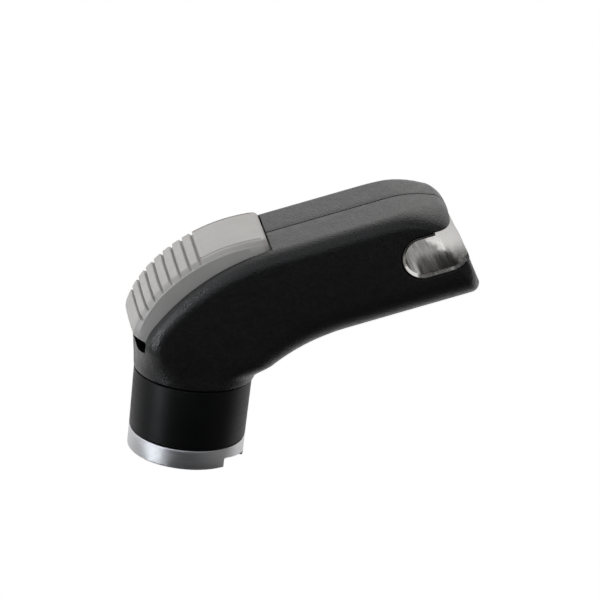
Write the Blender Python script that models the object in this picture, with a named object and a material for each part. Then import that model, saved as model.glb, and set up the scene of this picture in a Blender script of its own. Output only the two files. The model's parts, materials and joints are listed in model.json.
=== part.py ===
"""Illuminated tongue-blade holder: the bent, battery-handle-mounted head of a diagnostic set.

Frame: origin at the centre of the base ring's lower face, +Z up the neck, +X towards the nose, Y across.
Dimensions are in millimetres and meshes are scaled to metres as they are made. "Arm" coordinates are
(a, h): a along the inclined arm and h square to it, both measured from the origin in the XZ plane.
"""
import math

import bmesh
import bpy
from mathutils import Matrix, Vector

MM = 0.001
GAP = 0.3                                   # clearance between pieces that touch

# ---------------------------------------------------------------- driving dimensions
ARM_TILT = math.radians(20.0)
NECK_R = 14.3                               # neck radius where the body starts
RING_R = 14.0
RING_TOP = 4.9
COLLAR_TOP = 20.1
BODY_BASE = 20.4
SPIGOT_R = 11.9                             # body's spigot inside the collar
SPIGOT_BASE = 17.6
HALF_WIDTH = 14.4
ARM_TOP = 47.9                              # h of the arm's top line
ARM_BOTTOM = 21.4                           # h of the arm's bottom line
SEAM_HALF = 0.13                            # half of the parting gap between the shells
TOP_RADIUS = 3.4                            # corner radii of the arm's section
BOTTOM_RADIUS = 9.5
ARM_RADII = (BOTTOM_RADIUS, TOP_RADIUS)

SLIDE_A = 32.4                              # the slider's arc meets the top line here
SLIDE_R = 52.3
SLIDE_END = math.radians(42.0)              # where the arc turns down into the back
BACK_CORNER_R = 5.0
UNDER_A = 44.6                              # the concave underside meets the bottom line here
UNDER_R = 49.0
UNDER_END = math.radians(27.8)
FAN_PIVOT = (33.0, BODY_BASE)               # sections through the bend turn about this point
FAN_LAST = math.pi / 2 + ARM_TILT
FAN_STEPS = 26
ARM_STATIONS = 12
SQUARE_BY = 0.28                            # the round neck has turned square by this part of the bend

DROOP_A = 62.0                              # the nose rounds down from here
DROOP_R = 19.0
FRONT_A = 77.8                              # front face at the bottom line
FRONT_LEAN = math.tan(math.radians(9.8))    # front face leans back by this much per h
FRONT_ROUND = 2.2
NOSE_REACH = 1.9                            # the upper jaw stands out by this much more
NOSE_ROUND = 5.0                            # rounding of the front's upper edge
NOSE_RADIUS = 4.8                           # corner radius of the top at the front
NOSE_SPREAD = 6.0                           # and how much wider than high that corner is
FRONT_CROWN = 0.2                           # the front bulges by this much in the middle
NOSE_CROWN = 2.2                            # and by this much more at the top
NOSE_A = 60.0                               # the nose's own shape begins here

WALL = 2.2
TOP_WALL = 3.2
CAVITY_END = 56.5

NOTCH_H = 36.6                              # notch centre line
NOTCH_HALF = 5.5
NOTCH_A = 66.1                              # centre of the notch's round end
ROOF_A = 74.0                               # the upper jaw's lower edge is straight up to here
ROOF_ROUND = 0.8
STRIP_END_A = 70.0                          # the liner's upper end
LINER_T = 0.8
LIP_A = 72.0                                # the liner's floor starts to rise here
LIP_END = 76.6
LIP_RISE = 2.3

SLIDER_HALF = 10.6
SLIDER_TRAVEL = math.radians(2.6)
RECESS_DEPTH = 1.6
TAIL_HALF = 10.4                            # half width of the opening under the slider's tail
SLIDER_FRONT = math.radians(0.75)
SLIDER_TAIL = math.radians(43.0)
PAD_END = math.radians(17.3)
GROOVES = 8
GROOVE_PITCH = math.radians(2.85)
GROOVE_DEPTH = 0.85

LAMP_H = NOTCH_H
BLADE_H = (26.1, 29.0)                      # inside of the blade slot
BLADE_HALF = 10.4
GUIDE_WALL = 0.7
RIVET_A = 64.6                              # the clamp spring is riveted to the guide here

ROCKER_PIN_AT = (25.0, 34.2)                # arm coordinates
ROCKER_FOOT = 7.0                           # length of the lever's lower arm
ROCKER_TURN = math.radians(17.2)
EJECTOR_H = (26.5, 27.9)

SOCKET_R = 10.6                             # clear radius for the handle's spigot


# ---------------------------------------------------------------- frames and small helpers
def arm(a, h):
    """World (x, z) of a point given in arm coordinates."""
    c = math.cos(ARM_TILT)
    s = math.sin(ARM_TILT)
    return a * c - h * s, a * s + h * c


def arm_point(a, h, y=0.0):
    x, z = arm(a, h)
    return Vector((x, y, z))


SLIDE_CENTRE = (SLIDE_A, ARM_TOP - SLIDE_R)


def slide_arm(angle, radius=SLIDE_R):
    """Arm coordinates of a point on the slider's arc, angle measured back from the front end."""
    return SLIDE_CENTRE[0] - radius * math.sin(angle), SLIDE_CENTRE[1] + radius * math.cos(angle)


def slide_point(angle, radius, y=0.0):
    return arm_point(*slide_arm(angle, radius), y)


def spaced(first, last, count):
    """count values from first to last, both included."""
    return [first + (last - first) * k / (count - 1) for k in range(count)]


def arc_points(centre, radius, start, end, count):
    """Points on an arc in a plane, angles in radians."""
    return [(centre[0] + radius * math.cos(t), centre[1] + radius * math.sin(t))
            for t in spaced(start, end, count)]


MATERIALS = {
    "body_black": ((0.012, 0.012, 0.011), 0.42, 0.0),
    "collar_black": ((0.010, 0.010, 0.010), 0.30, 0.0),
    "slider_grey": ((0.50, 0.485, 0.46), 0.45, 0.0),
    "aluminium": ((0.72, 0.72, 0.72), 0.28, 1.0),
    "polished_metal": ((0.80, 0.79, 0.77), 0.15, 1.0),
    "steel": ((0.55, 0.55, 0.56), 0.30, 1.0),
    "brass": ((0.75, 0.55, 0.22), 0.30, 1.0),
    "white_plastic": ((0.75, 0.74, 0.70), 0.45, 0.0),
    "black_plastic": ((0.02, 0.02, 0.02), 0.45, 0.0),
    "clear_glass": ((0.92, 0.94, 0.95), 0.05, 0.0),
}


def material(name):
    found = bpy.data.materials.get(name)
    if found:
        return found
    colour, roughness, metallic = MATERIALS[name]
    made = bpy.data.materials.new(name)
    made.use_nodes = True
    shader = made.node_tree.nodes["Principled BSDF"]
    shader.inputs["Base Color"].default_value = (*colour, 1.0)
    shader.inputs["Roughness"].default_value = roughness
    shader.inputs["Metallic"].default_value = metallic
    return made


def add_object(name, bm, finish=None, origin=(0.0, 0.0, 0.0)):
    """Scale a millimetre mesh to metres about the given origin and link it as an object."""
    bmesh.ops.recalc_face_normals(bm, faces=bm.faces)
    centre = Vector(origin)
    bmesh.ops.transform(bm, verts=bm.verts, matrix=Matrix.Scale(MM, 4) @ Matrix.Translation(-centre))
    mesh = bpy.data.meshes.new(name)
    bm.to_mesh(mesh)
    bm.free()
    obj = bpy.data.objects.new(name, mesh)
    obj.location = centre * MM
    bpy.context.scene.collection.objects.link(obj)
    if finish:
        mesh.materials.append(material(finish))
        mesh.shade_smooth()
        mesh.set_sharp_from_angle(angle=math.radians(35.0))
    return obj


def combine(obj, tool, operation="DIFFERENCE"):
    """Apply an exact Boolean with a tool object, then remove the tool."""
    boolean = obj.modifiers.new("boolean", "BOOLEAN")
    boolean.solver = "EXACT"
    boolean.operation = operation
    boolean.object = tool
    bpy.context.view_layer.update()
    depsgraph = bpy.context.evaluated_depsgraph_get()
    result = bpy.data.meshes.new_from_object(obj.evaluated_get(depsgraph))
    obj.modifiers.clear()
    obj.data = result
    bpy.data.objects.remove(tool)
    return obj


def copy_object(obj, name):
    twin = bpy.data.objects.new(name, obj.data.copy())
    twin.matrix_world = obj.matrix_world
    bpy.context.scene.collection.objects.link(twin)
    return twin


# ---------------------------------------------------------------- mesh makers, in millimetres
def loft(rings, closed_loop=False):
    """Skin a list of rings of equal length; the ends are capped unless the rings form a loop."""
    bm = bmesh.new()
    verts = [[bm.verts.new(p) for p in ring] for ring in rings]
    pairs = list(zip(verts, verts[1:]))
    if closed_loop:
        pairs.append((verts[-1], verts[0]))
    for low, high in pairs:
        for k in range(len(low)):
            j = (k + 1) % len(low)
            bm.faces.new((low[k], low[j], high[j], high[k]))
    if not closed_loop:
        bm.faces.new(verts[0])
        bm.faces.new(verts[-1])
    return bm


def prism(outline, y_low, y_high):
    """Extrude an outline in the XZ plane along Y."""
    return loft([[(x, y_low, z) for x, z in outline], [(x, y_high, z) for x, z in outline]])


def arm_prism(outline, y_low, y_high):
    """Extrude an outline given in arm coordinates along Y."""
    return prism([arm(a, h) for a, h in outline], y_low, y_high)


def rectangle(a_low, a_high, h_low, h_high):
    return [(a_low, h_low), (a_high, h_low), (a_high, h_high), (a_low, h_high)]


def lathe(profile, steps=32, axis_frame=None):
    """Turn a closed (radius, height) profile about Z; points at radius 0 close on the axis."""
    frame = axis_frame or Matrix.Identity(4)
    bm = bmesh.new()
    columns = []
    poles = {i: bm.verts.new(frame @ Vector((0, 0, t))) for i, (r, t) in enumerate(profile) if r == 0}
    for k in range(steps):
        turn = 2 * math.pi * k / steps
        column = []
        for i, (r, t) in enumerate(profile):
            spot = Vector((r * math.cos(turn), r * math.sin(turn), t))
            column.append(poles[i] if i in poles else bm.verts.new(frame @ spot))
        columns.append(column)
    for k in range(steps):
        here = columns[k]
        there = columns[(k + 1) % steps]
        for i in range(len(profile)):
            j = (i + 1) % len(profile)
            corners = []
            for vert in (here[i], here[j], there[j], there[i]):
                if vert not in corners:
                    corners.append(vert)
            if len(corners) > 2:
                bm.faces.new(corners)
    return bm


def along(direction, at):
    """Frame whose Z axis points along a direction, with its origin at a point."""
    turn = Vector(direction).to_track_quat("Z", "Y").to_matrix().to_4x4()
    return Matrix.Translation(Vector(at)) @ turn


def rod(radius, start, end, steps=20):
    """Round bar between two points."""
    span = Vector(end) - Vector(start)
    profile = [(0, 0), (radius, 0), (radius, span.length), (0, span.length)]
    return lathe(profile, steps, along(span, start))


def tube_path(points, radius, sides=8):
    """Round wire along a smooth list of points in space."""
    rings = []
    for k, point in enumerate(points):
        before = points[max(k - 1, 0)]
        after = points[min(k + 1, len(points) - 1)]
        frame = along(Vector(after) - Vector(before), point)
        rings.append([frame @ Vector((radius * math.cos(t), radius * math.sin(t), 0))
                      for t in spaced(0, 2 * math.pi * (sides - 1) / sides, sides)])
    return loft(rings)


def strip_path(points, width, thickness):
    """Flat strip in the XZ plane, its width along Y, following points (x, y, z)."""
    rings = []
    for k, point in enumerate(points):
        before = Vector(points[max(k - 1, 0)])
        after = Vector(points[min(k + 1, len(points) - 1)])
        run = (after - before).normalized()
        side = Vector((0, 1, 0))
        lift = run.cross(side).normalized() * thickness / 2
        out = side * width / 2
        spot = Vector(point)
        rings.append([spot - out - lift, spot + out - lift, spot + out + lift, spot - out + lift])
    return loft(rings)


# ---------------------------------------------------------------- body outline and sections
def back_outline():
    """Back and top line from the neck to the nose, as (x, z)."""
    arc = [arm(*slide_arm(t)) for t in spaced(SLIDE_END, 0.0, 60)]
    slope = SLIDE_END + ARM_TILT
    centre = (arc[0][0] + BACK_CORNER_R * math.sin(slope), arc[0][1] - BACK_CORNER_R * math.cos(slope))
    corner = arc_points(centre, BACK_CORNER_R, math.pi, math.pi / 2 + slope, 8)
    top = [arm(a, top_line(a)) for a in spaced(SLIDE_A + 1.0, 75.0, 60)]
    return [(-NECK_R, BODY_BASE - 1.0)] + corner + arc[1:] + top


def under_outline():
    """Underside from the neck to the nose, as (x, z)."""
    curve = [arm(UNDER_A - UNDER_R * math.sin(t), ARM_BOTTOM - UNDER_R + UNDER_R * math.cos(t))
             for t in spaced(UNDER_END, 0.0, 40)]
    return [(NECK_R + 0.4, BODY_BASE - 1.0)] + curve + [arm(80.0, ARM_BOTTOM)]


def top_line(a):
    """h of the top, which rounds down at the nose."""
    past = max(a - DROOP_A, 0.0)
    return ARM_TOP - DROOP_R + math.sqrt(DROOP_R ** 2 - past ** 2)


def ray_hit(pivot, angle, outline):
    """Where a ray from the pivot crosses an outline."""
    run = (math.cos(angle), math.sin(angle))
    side = [run[0] * (z - pivot[1]) - run[1] * (x - pivot[0]) for x, z in outline]
    for k in range(len(outline) - 1):
        if side[k] * side[k + 1] <= 0 and side[k] != side[k + 1]:
            f = side[k] / (side[k] - side[k + 1])
            p = outline[k]
            q = outline[k + 1]
            return Vector((p[0] + (q[0] - p[0]) * f, 0, p[1] + (q[1] - p[1]) * f))
    raise ValueError("the ray misses the outline")


def section(bottom, top, half_width, radii, spread=0.0, steps=8):
    """Rounded rectangle between a bottom and a top point in the XZ plane, with (bottom, top) radii.

    The top corners are stretched inwards by the spread.
    """
    middle = (bottom + top) / 2
    height = (top - bottom).length / 2
    up = (top - bottom).normalized()
    inset = math.radians(5.0)
    ring = []
    for quarter, (side, lift) in enumerate(((1, 1), (-1, 1), (-1, -1), (1, -1))):
        radius = min(radii[1] if lift > 0 else radii[0], half_width, height)
        wide = radius + (spread if lift > 0 else 0.0)
        start = quarter * math.pi / 2
        for turn in spaced(start + inset, start + math.pi / 2 - inset, steps):
            y = side * (half_width - wide) + wide * math.cos(turn)
            v = lift * (height - radius) + radius * math.sin(turn)
            ring.append(middle + up * v + Vector((0, y, 0)))
        if quarter in (0, 2):
            ring.append(middle + up * height * lift)
    return ring


def body_stations():
    """(bottom, top, half width, radii, spread) from the neck to where the front face rounds off."""
    back = back_outline()
    under = under_outline()
    stations = []
    for k, angle in enumerate(spaced(math.pi, FAN_LAST, FAN_STEPS)):
        grow = min(k / (FAN_STEPS * SQUARE_BY), 1.0)
        blend = grow * grow * (3 - 2 * grow)
        radii = [NECK_R + (radius - NECK_R) * blend for radius in (BOTTOM_RADIUS, TOP_RADIUS)]
        width = NECK_R + (HALF_WIDTH - NECK_R) * blend
        stations.append((ray_hit(FAN_PIVOT, angle, under), ray_hit(FAN_PIVOT, angle, back), width, radii, 0.0))
    first_a = FAN_PIVOT[0] * math.cos(ARM_TILT) + FAN_PIVOT[1] * math.sin(ARM_TILT)
    for f in spaced(1 / ARM_STATIONS, 1.0, ARM_STATIONS):
        a_low = first_a + (FRONT_A - FRONT_ROUND - first_a) * f
        a_high = first_a + (front_top() - NOSE_ROUND - first_a) * f
        low = arm_point(a_low, bottom_line(a_low))
        radius, spread = nose_corner(a_low)
        stations.append((low, arm_point(a_high, top_line(a_high)), HALF_WIDTH, (BOTTOM_RADIUS, radius), spread))
    return stations


def front_top():
    """a of the leaning front face at the top line."""
    return FRONT_A + NOSE_REACH - FRONT_LEAN * (top_line(74.0) - ARM_BOTTOM)


def near_front(a):
    """Rises from 0 where the nose begins to 1 at the front."""
    return min(max((a - NOSE_A) / (FRONT_A - NOSE_A), 0.0), 1.0) ** 2


def nose_corner(a):
    """Radius of the arm's top corners and their spread, which both grow towards the front."""
    grow = near_front(a)
    return TOP_RADIUS + (NOSE_RADIUS - TOP_RADIUS) * grow, NOSE_SPREAD * grow


def bottom_line(a):
    """h of the underside, which curves down behind its straight run."""
    past = max(UNDER_A - a, 0.0)
    return ARM_BOTTOM - UNDER_R + math.sqrt(UNDER_R ** 2 - past ** 2)


def disc_ring(radius, z):
    """Circle about the neck axis, with the points in the order that the body's sections use."""
    return section(Vector((radius, 0, z)), Vector((-radius, 0, z)), radius, (radius, radius))


def crowned(ring, a):
    """Bulge a ring of the arm forwards in its middle, more the nearer it is to the front and the top."""
    spots = []
    for p in ring:
        h = p.z * math.cos(ARM_TILT) - p.x * math.sin(ARM_TILT)
        bulge = FRONT_CROWN + NOSE_CROWN * ((h - ARM_BOTTOM) / (ARM_TOP - ARM_BOTTOM)) ** 3
        push = bulge * near_front(a) * (1.0 - (p.y / HALF_WIDTH) ** 2)
        spots.append(p + arm_point(push, 0.0))
    return spots


def body_solid():
    """The whole outer body, with its spigot below the neck joint and a rounded front."""
    rings = [disc_ring(SPIGOT_R, SPIGOT_BASE), disc_ring(SPIGOT_R, BODY_BASE)]
    for number, station in enumerate(body_stations()):
        bottom = station[0]
        along_arm = bottom.x * math.cos(ARM_TILT) + bottom.z * math.sin(ARM_TILT)
        ring = section(*station)
        rings.append(ring if number < FAN_STEPS else crowned(ring, along_arm))
    radius, spread = nose_corner(FRONT_A - FRONT_ROUND)
    for turn in spaced(math.radians(18), math.radians(90), 5):
        inset = FRONT_ROUND * (1 - math.cos(turn))
        a_low = FRONT_A - FRONT_ROUND * (1 - math.sin(turn))
        a_high = front_top() - NOSE_ROUND * (1 - math.sin(turn))
        low = arm_point(a_low, ARM_BOTTOM + inset)
        high = arm_point(a_high, top_line(a_high) - NOSE_ROUND * (1 - math.cos(turn)))
        radii = (BOTTOM_RADIUS - inset, radius - inset * 0.3)
        ring = section(low, high, HALF_WIDTH - inset, radii, spread)
        rings.append(crowned(ring, FRONT_A))
    middle = (low + high) / 2
    for shrink in (0.7, 0.4, 0.05):
        spots = [middle + (p - middle) * shrink for p in ring]
        rings.append(crowned(spots, FRONT_A))
    return loft(rings)


def cavity_solid():
    """The hollow inside the two shells, open downwards through the spigot."""
    inner = SPIGOT_R - 1.6
    rings = [disc_ring(inner, SPIGOT_BASE - 1.0), disc_ring(inner, BODY_BASE + 1.2)]
    for bottom, top, width, radii, _ in body_stations()[3:FAN_STEPS:2]:
        run = (top - bottom).normalized()
        inside = [max(r - WALL, 1.5) for r in radii]
        rings.append(section(bottom + run * WALL, top - run * TOP_WALL, width - WALL, inside))
    for a in (46.0, CAVITY_END):
        low = arm_point(a, ARM_BOTTOM + WALL)
        high = arm_point(a, ARM_TOP - TOP_WALL)
        rings.append(section(low, high, HALF_WIDTH - WALL, [r - WALL + 1.0 for r in ARM_RADII]))
    return loft(rings)


# ---------------------------------------------------------------- notch
def notch_outline(inset):
    """Side notch: open at the front, round at the back, its floor rising to a lip at the front."""
    r = NOTCH_HALF - inset
    round_end = arc_points((NOTCH_A, NOTCH_H), r, math.pi * 1.5, math.pi * 0.5, 17)
    floor = [(a, NOTCH_H - r + lip_rise(a)) for a in spaced(LIP_END, LIP_A, 7)]
    roof_h = NOTCH_H + r
    roof = [(ROOF_A + ROOF_ROUND * math.sin(t), roof_h + ROOF_ROUND * (1 - math.cos(t)))
            for t in spaced(0.0, 1.5, 4)]
    lip_h = NOTCH_H - r + LIP_RISE
    mouth = [(84.0, roof_h + ROOF_ROUND), (84.0, lip_h), (LIP_END + 0.4, lip_h)]
    return roof + mouth + floor + round_end


def lip_rise(a):
    f = max(a - LIP_A, 0.0) / (LIP_END - LIP_A)
    return LIP_RISE * f * f


def liner_outline():
    """Closed outline of the bent strip that lines the notch."""
    outer = liner_face(GAP)
    inner = liner_face(GAP + LINER_T)
    return outer + inner[::-1]


def liner_face(inset):
    r = NOTCH_HALF - inset
    roof = [(STRIP_END_A, NOTCH_H + r)]
    round_end = arc_points((NOTCH_A, NOTCH_H), r, math.pi * 0.5, math.pi * 1.5, 17)
    floor = [(a, NOTCH_H - r + lip_rise(a)) for a in spaced(LIP_A, LIP_END - 0.1, 7)]
    return roof + round_end + floor


# ---------------------------------------------------------------- slider
def slider_height(angle):
    """Height of the slider's top above the arc it slides on."""
    knots = [(0.0, 2.1), (6.0, 3.1), (12.0, 3.9), (18.0, 4.4), (25.0, 4.7), (31.0, 4.6), (36.0, 4.1),
             (40.0, 3.3), (44.0, 2.2)]
    degrees = math.degrees(angle)
    for (d0, h0), (d1, h1) in zip(knots, knots[1:]):
        if degrees <= d1:
            f = (degrees - d0) / (d1 - d0)
            return h0 + (h1 - h0) * f
    return knots[-1][1]


def slider_stations():
    """(angle, groove depth) along the slider: a smooth pad, then ribs between grooves."""
    stations = [(t, 0.0) for t in spaced(SLIDER_FRONT + math.radians(1.6), PAD_END, 8)]
    for k in range(GROOVES):
        start = PAD_END + GROOVE_PITCH * k
        for part, depth in ((0.06, 1.0), (0.24, 1.0), (0.34, 0.35), (0.58, 0.0), (0.96, 0.0)):
            stations.append((start + GROOVE_PITCH * part, GROOVE_DEPTH * depth))
    return stations


def slider_ring(angle, drop, side_in=0.0):
    """Cross-section of the slider at an angle along its arc; grooves lower its top but not its flanks."""
    full = SLIDE_R + slider_height(angle)
    top = full - drop
    base = SLIDE_R - RECESS_DEPTH + GAP
    flank = min(full - 1.2, top - 0.1)
    shoulder = min(flank + 0.5, top - 0.05)
    right = [(SLIDER_HALF, base), (SLIDER_HALF - 0.8, flank), (SLIDER_HALF - 1.1, shoulder),
             (SLIDER_HALF - 1.5, top - 0.03), (SLIDER_HALF - 2.2, top)]
    right = [(y - side_in, r) for y, r in right]
    ring = right + [(0.0, top + 0.2)] + [(-y, r) for y, r in right[::-1]]
    return [slide_point(angle, r, y) for y, r in ring]


def rounded_end(end, inward, corner, drop):
    """Rings that round one end of the slider in plan and along its top edge, starting at the end."""
    rings = []
    for f in (0.0, 0.12, 0.35, 0.65):
        left = 1.0 - f
        side_in = corner * (1.0 - math.sqrt(1.0 - left * left))
        rings.append(slider_ring(end + inward * f * corner / SLIDE_R, drop * left ** 3, side_in * 0.9))
    return rings


def make_slider():
    front = rounded_end(SLIDER_FRONT, 1.0, 1.4, 0.7)
    middle = [slider_ring(t, drop) for t, drop in slider_stations()]
    tail = rounded_end(SLIDER_TAIL, -1.0, 2.8, 0.9)
    slider = add_object("thumb_slider", loft(front + middle + tail[::-1]), "slider_grey", slide_origin())
    for angle in SCREW_ANGLES:
        boss_hole = rod(1.0, slide_point(angle, SLIDE_R - 3.0), slide_point(angle, SLIDE_R + 1.4), 12)
        combine(slider, add_object("cutter", boss_hole))
    return slider


def slide_origin():
    return arm_point(*SLIDE_CENTRE)


SCREW_ANGLES = (math.radians(20.5), math.radians(26.5))


def band(angles, r_low, r_high, half):
    """Curved plate on the slider's arc."""
    corners = ((-half, r_low), (half, r_low), (half, r_high), (-half, r_high))
    return loft([[slide_point(t, r, y) for y, r in corners] for t in angles])


def tail_opening():
    """U-shaped opening into which the slider's tail dips."""
    start = SLIDER_TAIL + math.radians(0.3)
    end = SLIDER_TAIL + SLIDER_TRAVEL + math.radians(0.9)
    rings = []
    for f in (0.0, 0.2, 0.4, 0.55, 0.7, 0.82, 0.92, 1.0):
        half = TAIL_HALF * (1.0 - (f * 0.96) ** 3) ** (1 / 3)
        angle = start + (end - start) * f
        corners = ((-half, SLIDE_R - 6.0), (half, SLIDE_R - 6.0), (half, SLIDE_R + 3.0), (-half, SLIDE_R + 3.0))
        rings.append([slide_point(angle, r, y) for y, r in corners])
    return loft(rings)


def degrees_range(first, last, count):
    return [math.radians(d) for d in spaced(first, last, count)]


# ---------------------------------------------------------------- housing
HOUSING_SCREWS = ((8.5, 28.0), (38.0, 42.2), (24.0, 22.6))     # arm coordinates of the bosses
BOSS_R = 2.6
SCREW_HEAD_R = 2.1
SCREW_R = 0.9
SCREW_Y = (-9.0, 11.4)                      # tip, underside of the head
PIN_BOSS_R = 2.4


def make_housing():
    body = add_object("housing", body_solid(), "body_black")
    cavity = add_object("cavity", cavity_solid())
    for a, h in HOUSING_SCREWS:
        boss = rod(BOSS_R, arm_point(a, h, -20), arm_point(a, h, 20), 20)
        combine(cavity, add_object("boss", boss))
    for side in (-1, 1):
        ends = sorted((side * 3.2, side * 20))
        boss = rod(PIN_BOSS_R, arm_point(*ROCKER_PIN_AT, ends[0]), arm_point(*ROCKER_PIN_AT, ends[1]), 20)
        combine(cavity, add_object("boss", boss))
    combine(body, cavity)

    recess_end = SLIDER_TAIL + SLIDER_TRAVEL + math.radians(0.25)
    recess = band(spaced(SLIDER_FRONT - math.radians(0.6), recess_end, 24), SLIDE_R - RECESS_DEPTH,
                  SLIDE_R + 9.0, SLIDER_HALF + GAP)
    combine(body, add_object("cutter", recess))
    combine(body, add_object("cutter", tail_opening()))
    slot = band(degrees_range(9.0, 35.0, 10), SLIDE_R - 8.0, SLIDE_R + 2.0, 3.6)
    combine(body, add_object("cutter", slot))
    combine(body, add_object("cutter", arm_prism(notch_outline(0.0), -20, 20)))
    around = GUIDE_WALL + GAP
    guide_box = rectangle(CAVITY_END - 1.0, 90.0, BLADE_H[0] - around, BLADE_H[1] + around)
    guide_half = BLADE_HALF + around
    combine(body, add_object("cutter", arm_prism(guide_box, -guide_half, guide_half)))
    lamp_bore = rod(4.3, arm_point(CAVITY_END - 1.5, LAMP_H), arm_point(62.0, LAMP_H), 28)
    combine(body, add_object("cutter", lamp_bore))
    for a, h in HOUSING_SCREWS:
        combine(body, add_object("cutter", rod(SCREW_R + 0.2, arm_point(a, h, SCREW_Y[0] - 0.6),
                                               arm_point(a, h, 20), 14)))
        combine(body, add_object("cutter", rod(SCREW_HEAD_R + GAP, arm_point(a, h, SCREW_Y[1] - GAP),
                                               arm_point(a, h, 20), 20)))
    pin_hole = rod(1.25, arm_point(*ROCKER_PIN_AT, -7.4), arm_point(*ROCKER_PIN_AT, 7.4), 16)
    combine(body, add_object("cutter", pin_hole))

    halves = []
    for name, y_low, y_high in (("housing_left", -30.0, -SEAM_HALF), ("housing_right", SEAM_HALF, 30.0)):
        half = copy_object(body, name)
        block = prism([(-60, -20), (120, -20), (120, 120), (-60, 120)], y_low, y_high)
        combine(half, add_object("cutter", block), "INTERSECT")
        half.data.materials.clear()
        half.data.materials.append(material("body_black"))
        halves.append(half)
    bpy.data.objects.remove(body)
    for number, (a, h) in enumerate(HOUSING_SCREWS, 1):
        make_housing_screw("housing_screw_%d" % number, a, h)
    return halves


def make_housing_screw(name, a, h):
    """Pan-head screw, driven from the far side, with a cross recess."""
    length = SCREW_Y[1] - SCREW_Y[0]
    profile = [(0, 0), (SCREW_R * 0.4, 0), (SCREW_R, 1.2), (SCREW_R, length), (SCREW_HEAD_R, length),
               (SCREW_HEAD_R, length + 0.8), (SCREW_HEAD_R * 0.8, length + 1.3), (0, length + 1.4)]
    screw = add_object(name, lathe(profile, 16, along((0, 1, 0), arm_point(a, h, SCREW_Y[0]))), "steel")
    top = SCREW_Y[1] + 1.5
    for half_a, half_h in ((1.1, 0.25), (0.25, 1.1)):
        slot = rectangle(a - half_a, a + half_a, h - half_h, h + half_h)
        combine(screw, add_object("cutter", arm_prism(slot, top - 0.8, top + 1.0)))


# ---------------------------------------------------------------- neck and handle connection
def make_neck():
    collar = [(12.2, RING_TOP + GAP), (RING_R - 0.25, RING_TOP + GAP), (RING_R, RING_TOP + GAP + 0.25),
              (NECK_R - 0.1, COLLAR_TOP - 0.2), (NECK_R - 0.3, COLLAR_TOP), (12.2, COLLAR_TOP)]
    add_object("neck_collar", lathe(collar, 56), "collar_black")

    ring = [(SOCKET_R + 1.5, 0), (RING_R - 0.3, 0), (RING_R, 0.3), (RING_R, RING_TOP - 0.2),
            (RING_R - 0.2, RING_TOP), (SOCKET_R + 1.5, RING_TOP)]
    base_ring = add_object("base_ring", lathe(ring, 56), "aluminium")
    for middle in (-36.0, 144.0):
        combine(base_ring, add_object("cutter", ring_recess(math.radians(middle))))

    sleeve = [(SOCKET_R, 0.5), (SOCKET_R + 1.2, 0.5), (SOCKET_R + 1.2, 16.6), (SOCKET_R, 16.6)]
    add_object("socket_sleeve", lathe(sleeve, 40), "steel")


def ring_recess(middle):
    """Wedge that cuts a sloping recess for a guide pin into the ring's lower edge."""
    half = math.radians(20.0)
    rings = []
    for turn in spaced(middle - half, middle + half, 9):
        depth = 2.4 - 1.2 * (turn - middle + half) / (2 * half)
        spots = []
        for radius, z in ((SOCKET_R, -1.0), (RING_R + 2.0, -1.0), (RING_R + 2.0, depth), (SOCKET_R, depth)):
            spots.append(Vector((radius * math.cos(turn), radius * math.sin(turn), z)))
        rings.append(spots)
    return loft(rings)


def make_contact():
    disc = [(2.6, 9.2), (SOCKET_R - GAP, 9.2), (SOCKET_R - GAP, 13.8), (3.3, 13.8), (3.3, 10.2), (2.6, 10.2)]
    add_object("insulator", lathe(disc, 32), "white_plastic")

    corners = ((8.8, 8.1), (SOCKET_R - 0.25, 8.1), (SOCKET_R - 0.25, 8.9), (8.8, 8.9))
    clip = [[Vector((r * math.cos(t), r * math.sin(t), z)) for r, z in corners]
            for t in spaced(math.radians(20), math.radians(340), 29)]
    add_object("retaining_ring", loft(clip), "steel")

    pin = [(0, 6.5), (1.5, 6.6), (2.3, 7.3), (2.3, 10.5), (2.9, 10.5), (2.9, 11.6), (1.2, 11.6),
           (1.2, 13.0), (0, 13.0)]
    add_object("contact_pin", lathe(pin, 20), "brass", (0, 0, 6.5))

    coil = coil_points(radius=2.0, low=12.15, high=15.05, turns=3.5, steps=14)
    add_object("contact_spring", tube_path(coil, 0.25, 6), "steel")

    cap = [(0, 16.7), (3.6, 16.7), (3.6, 14.1), (2.9, 14.1), (2.9, 15.6), (0, 15.6)]
    add_object("contact_cap", lathe(cap, 24), "brass")


def coil_points(radius, low, high, turns, steps):
    count = int(turns * steps) + 1
    return [(radius * math.cos(2 * math.pi * k / steps), radius * math.sin(2 * math.pi * k / steps),
             low + (high - low) * k / (count - 1)) for k in range(count)]


# ---------------------------------------------------------------- lamp
def make_lamp():
    axis = arm_point(1, 0)
    window_start = 57.9
    window = [(0, 0), (3.9, 0), (3.9, 1.2), (2.6, 1.5), (0, 1.9)]
    add_object("lamp_window", lathe(window, 28, along(axis, arm_point(window_start, LAMP_H))), "clear_glass")

    holder = [(3.0, 0), (4.0, 0), (4.0, 14.6), (3.0, 14.6), (3.0, 13.0), (2.4, 13.0), (2.4, 12.4),
              (3.0, 12.0)]
    add_object("lamp_holder", lathe(holder, 28, along(axis, arm_point(43.0, LAMP_H))), "aluminium")

    base = [(0, 0), (1.0, 0), (1.0, 0.5), (2.7, 0.5), (2.7, 6.4), (0, 6.4)]
    add_object("lamp_base", lathe(base, 24, along(axis, arm_point(42.6, LAMP_H))), "brass")
    bulb = [(0, 0), (2.2, 0), (2.2, 3.4), (1.9, 4.6), (1.2, 5.3), (0, 5.6)]
    add_object("lamp_bulb", lathe(bulb, 24, along(axis, arm_point(49.3, LAMP_H))), "clear_glass")


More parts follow.
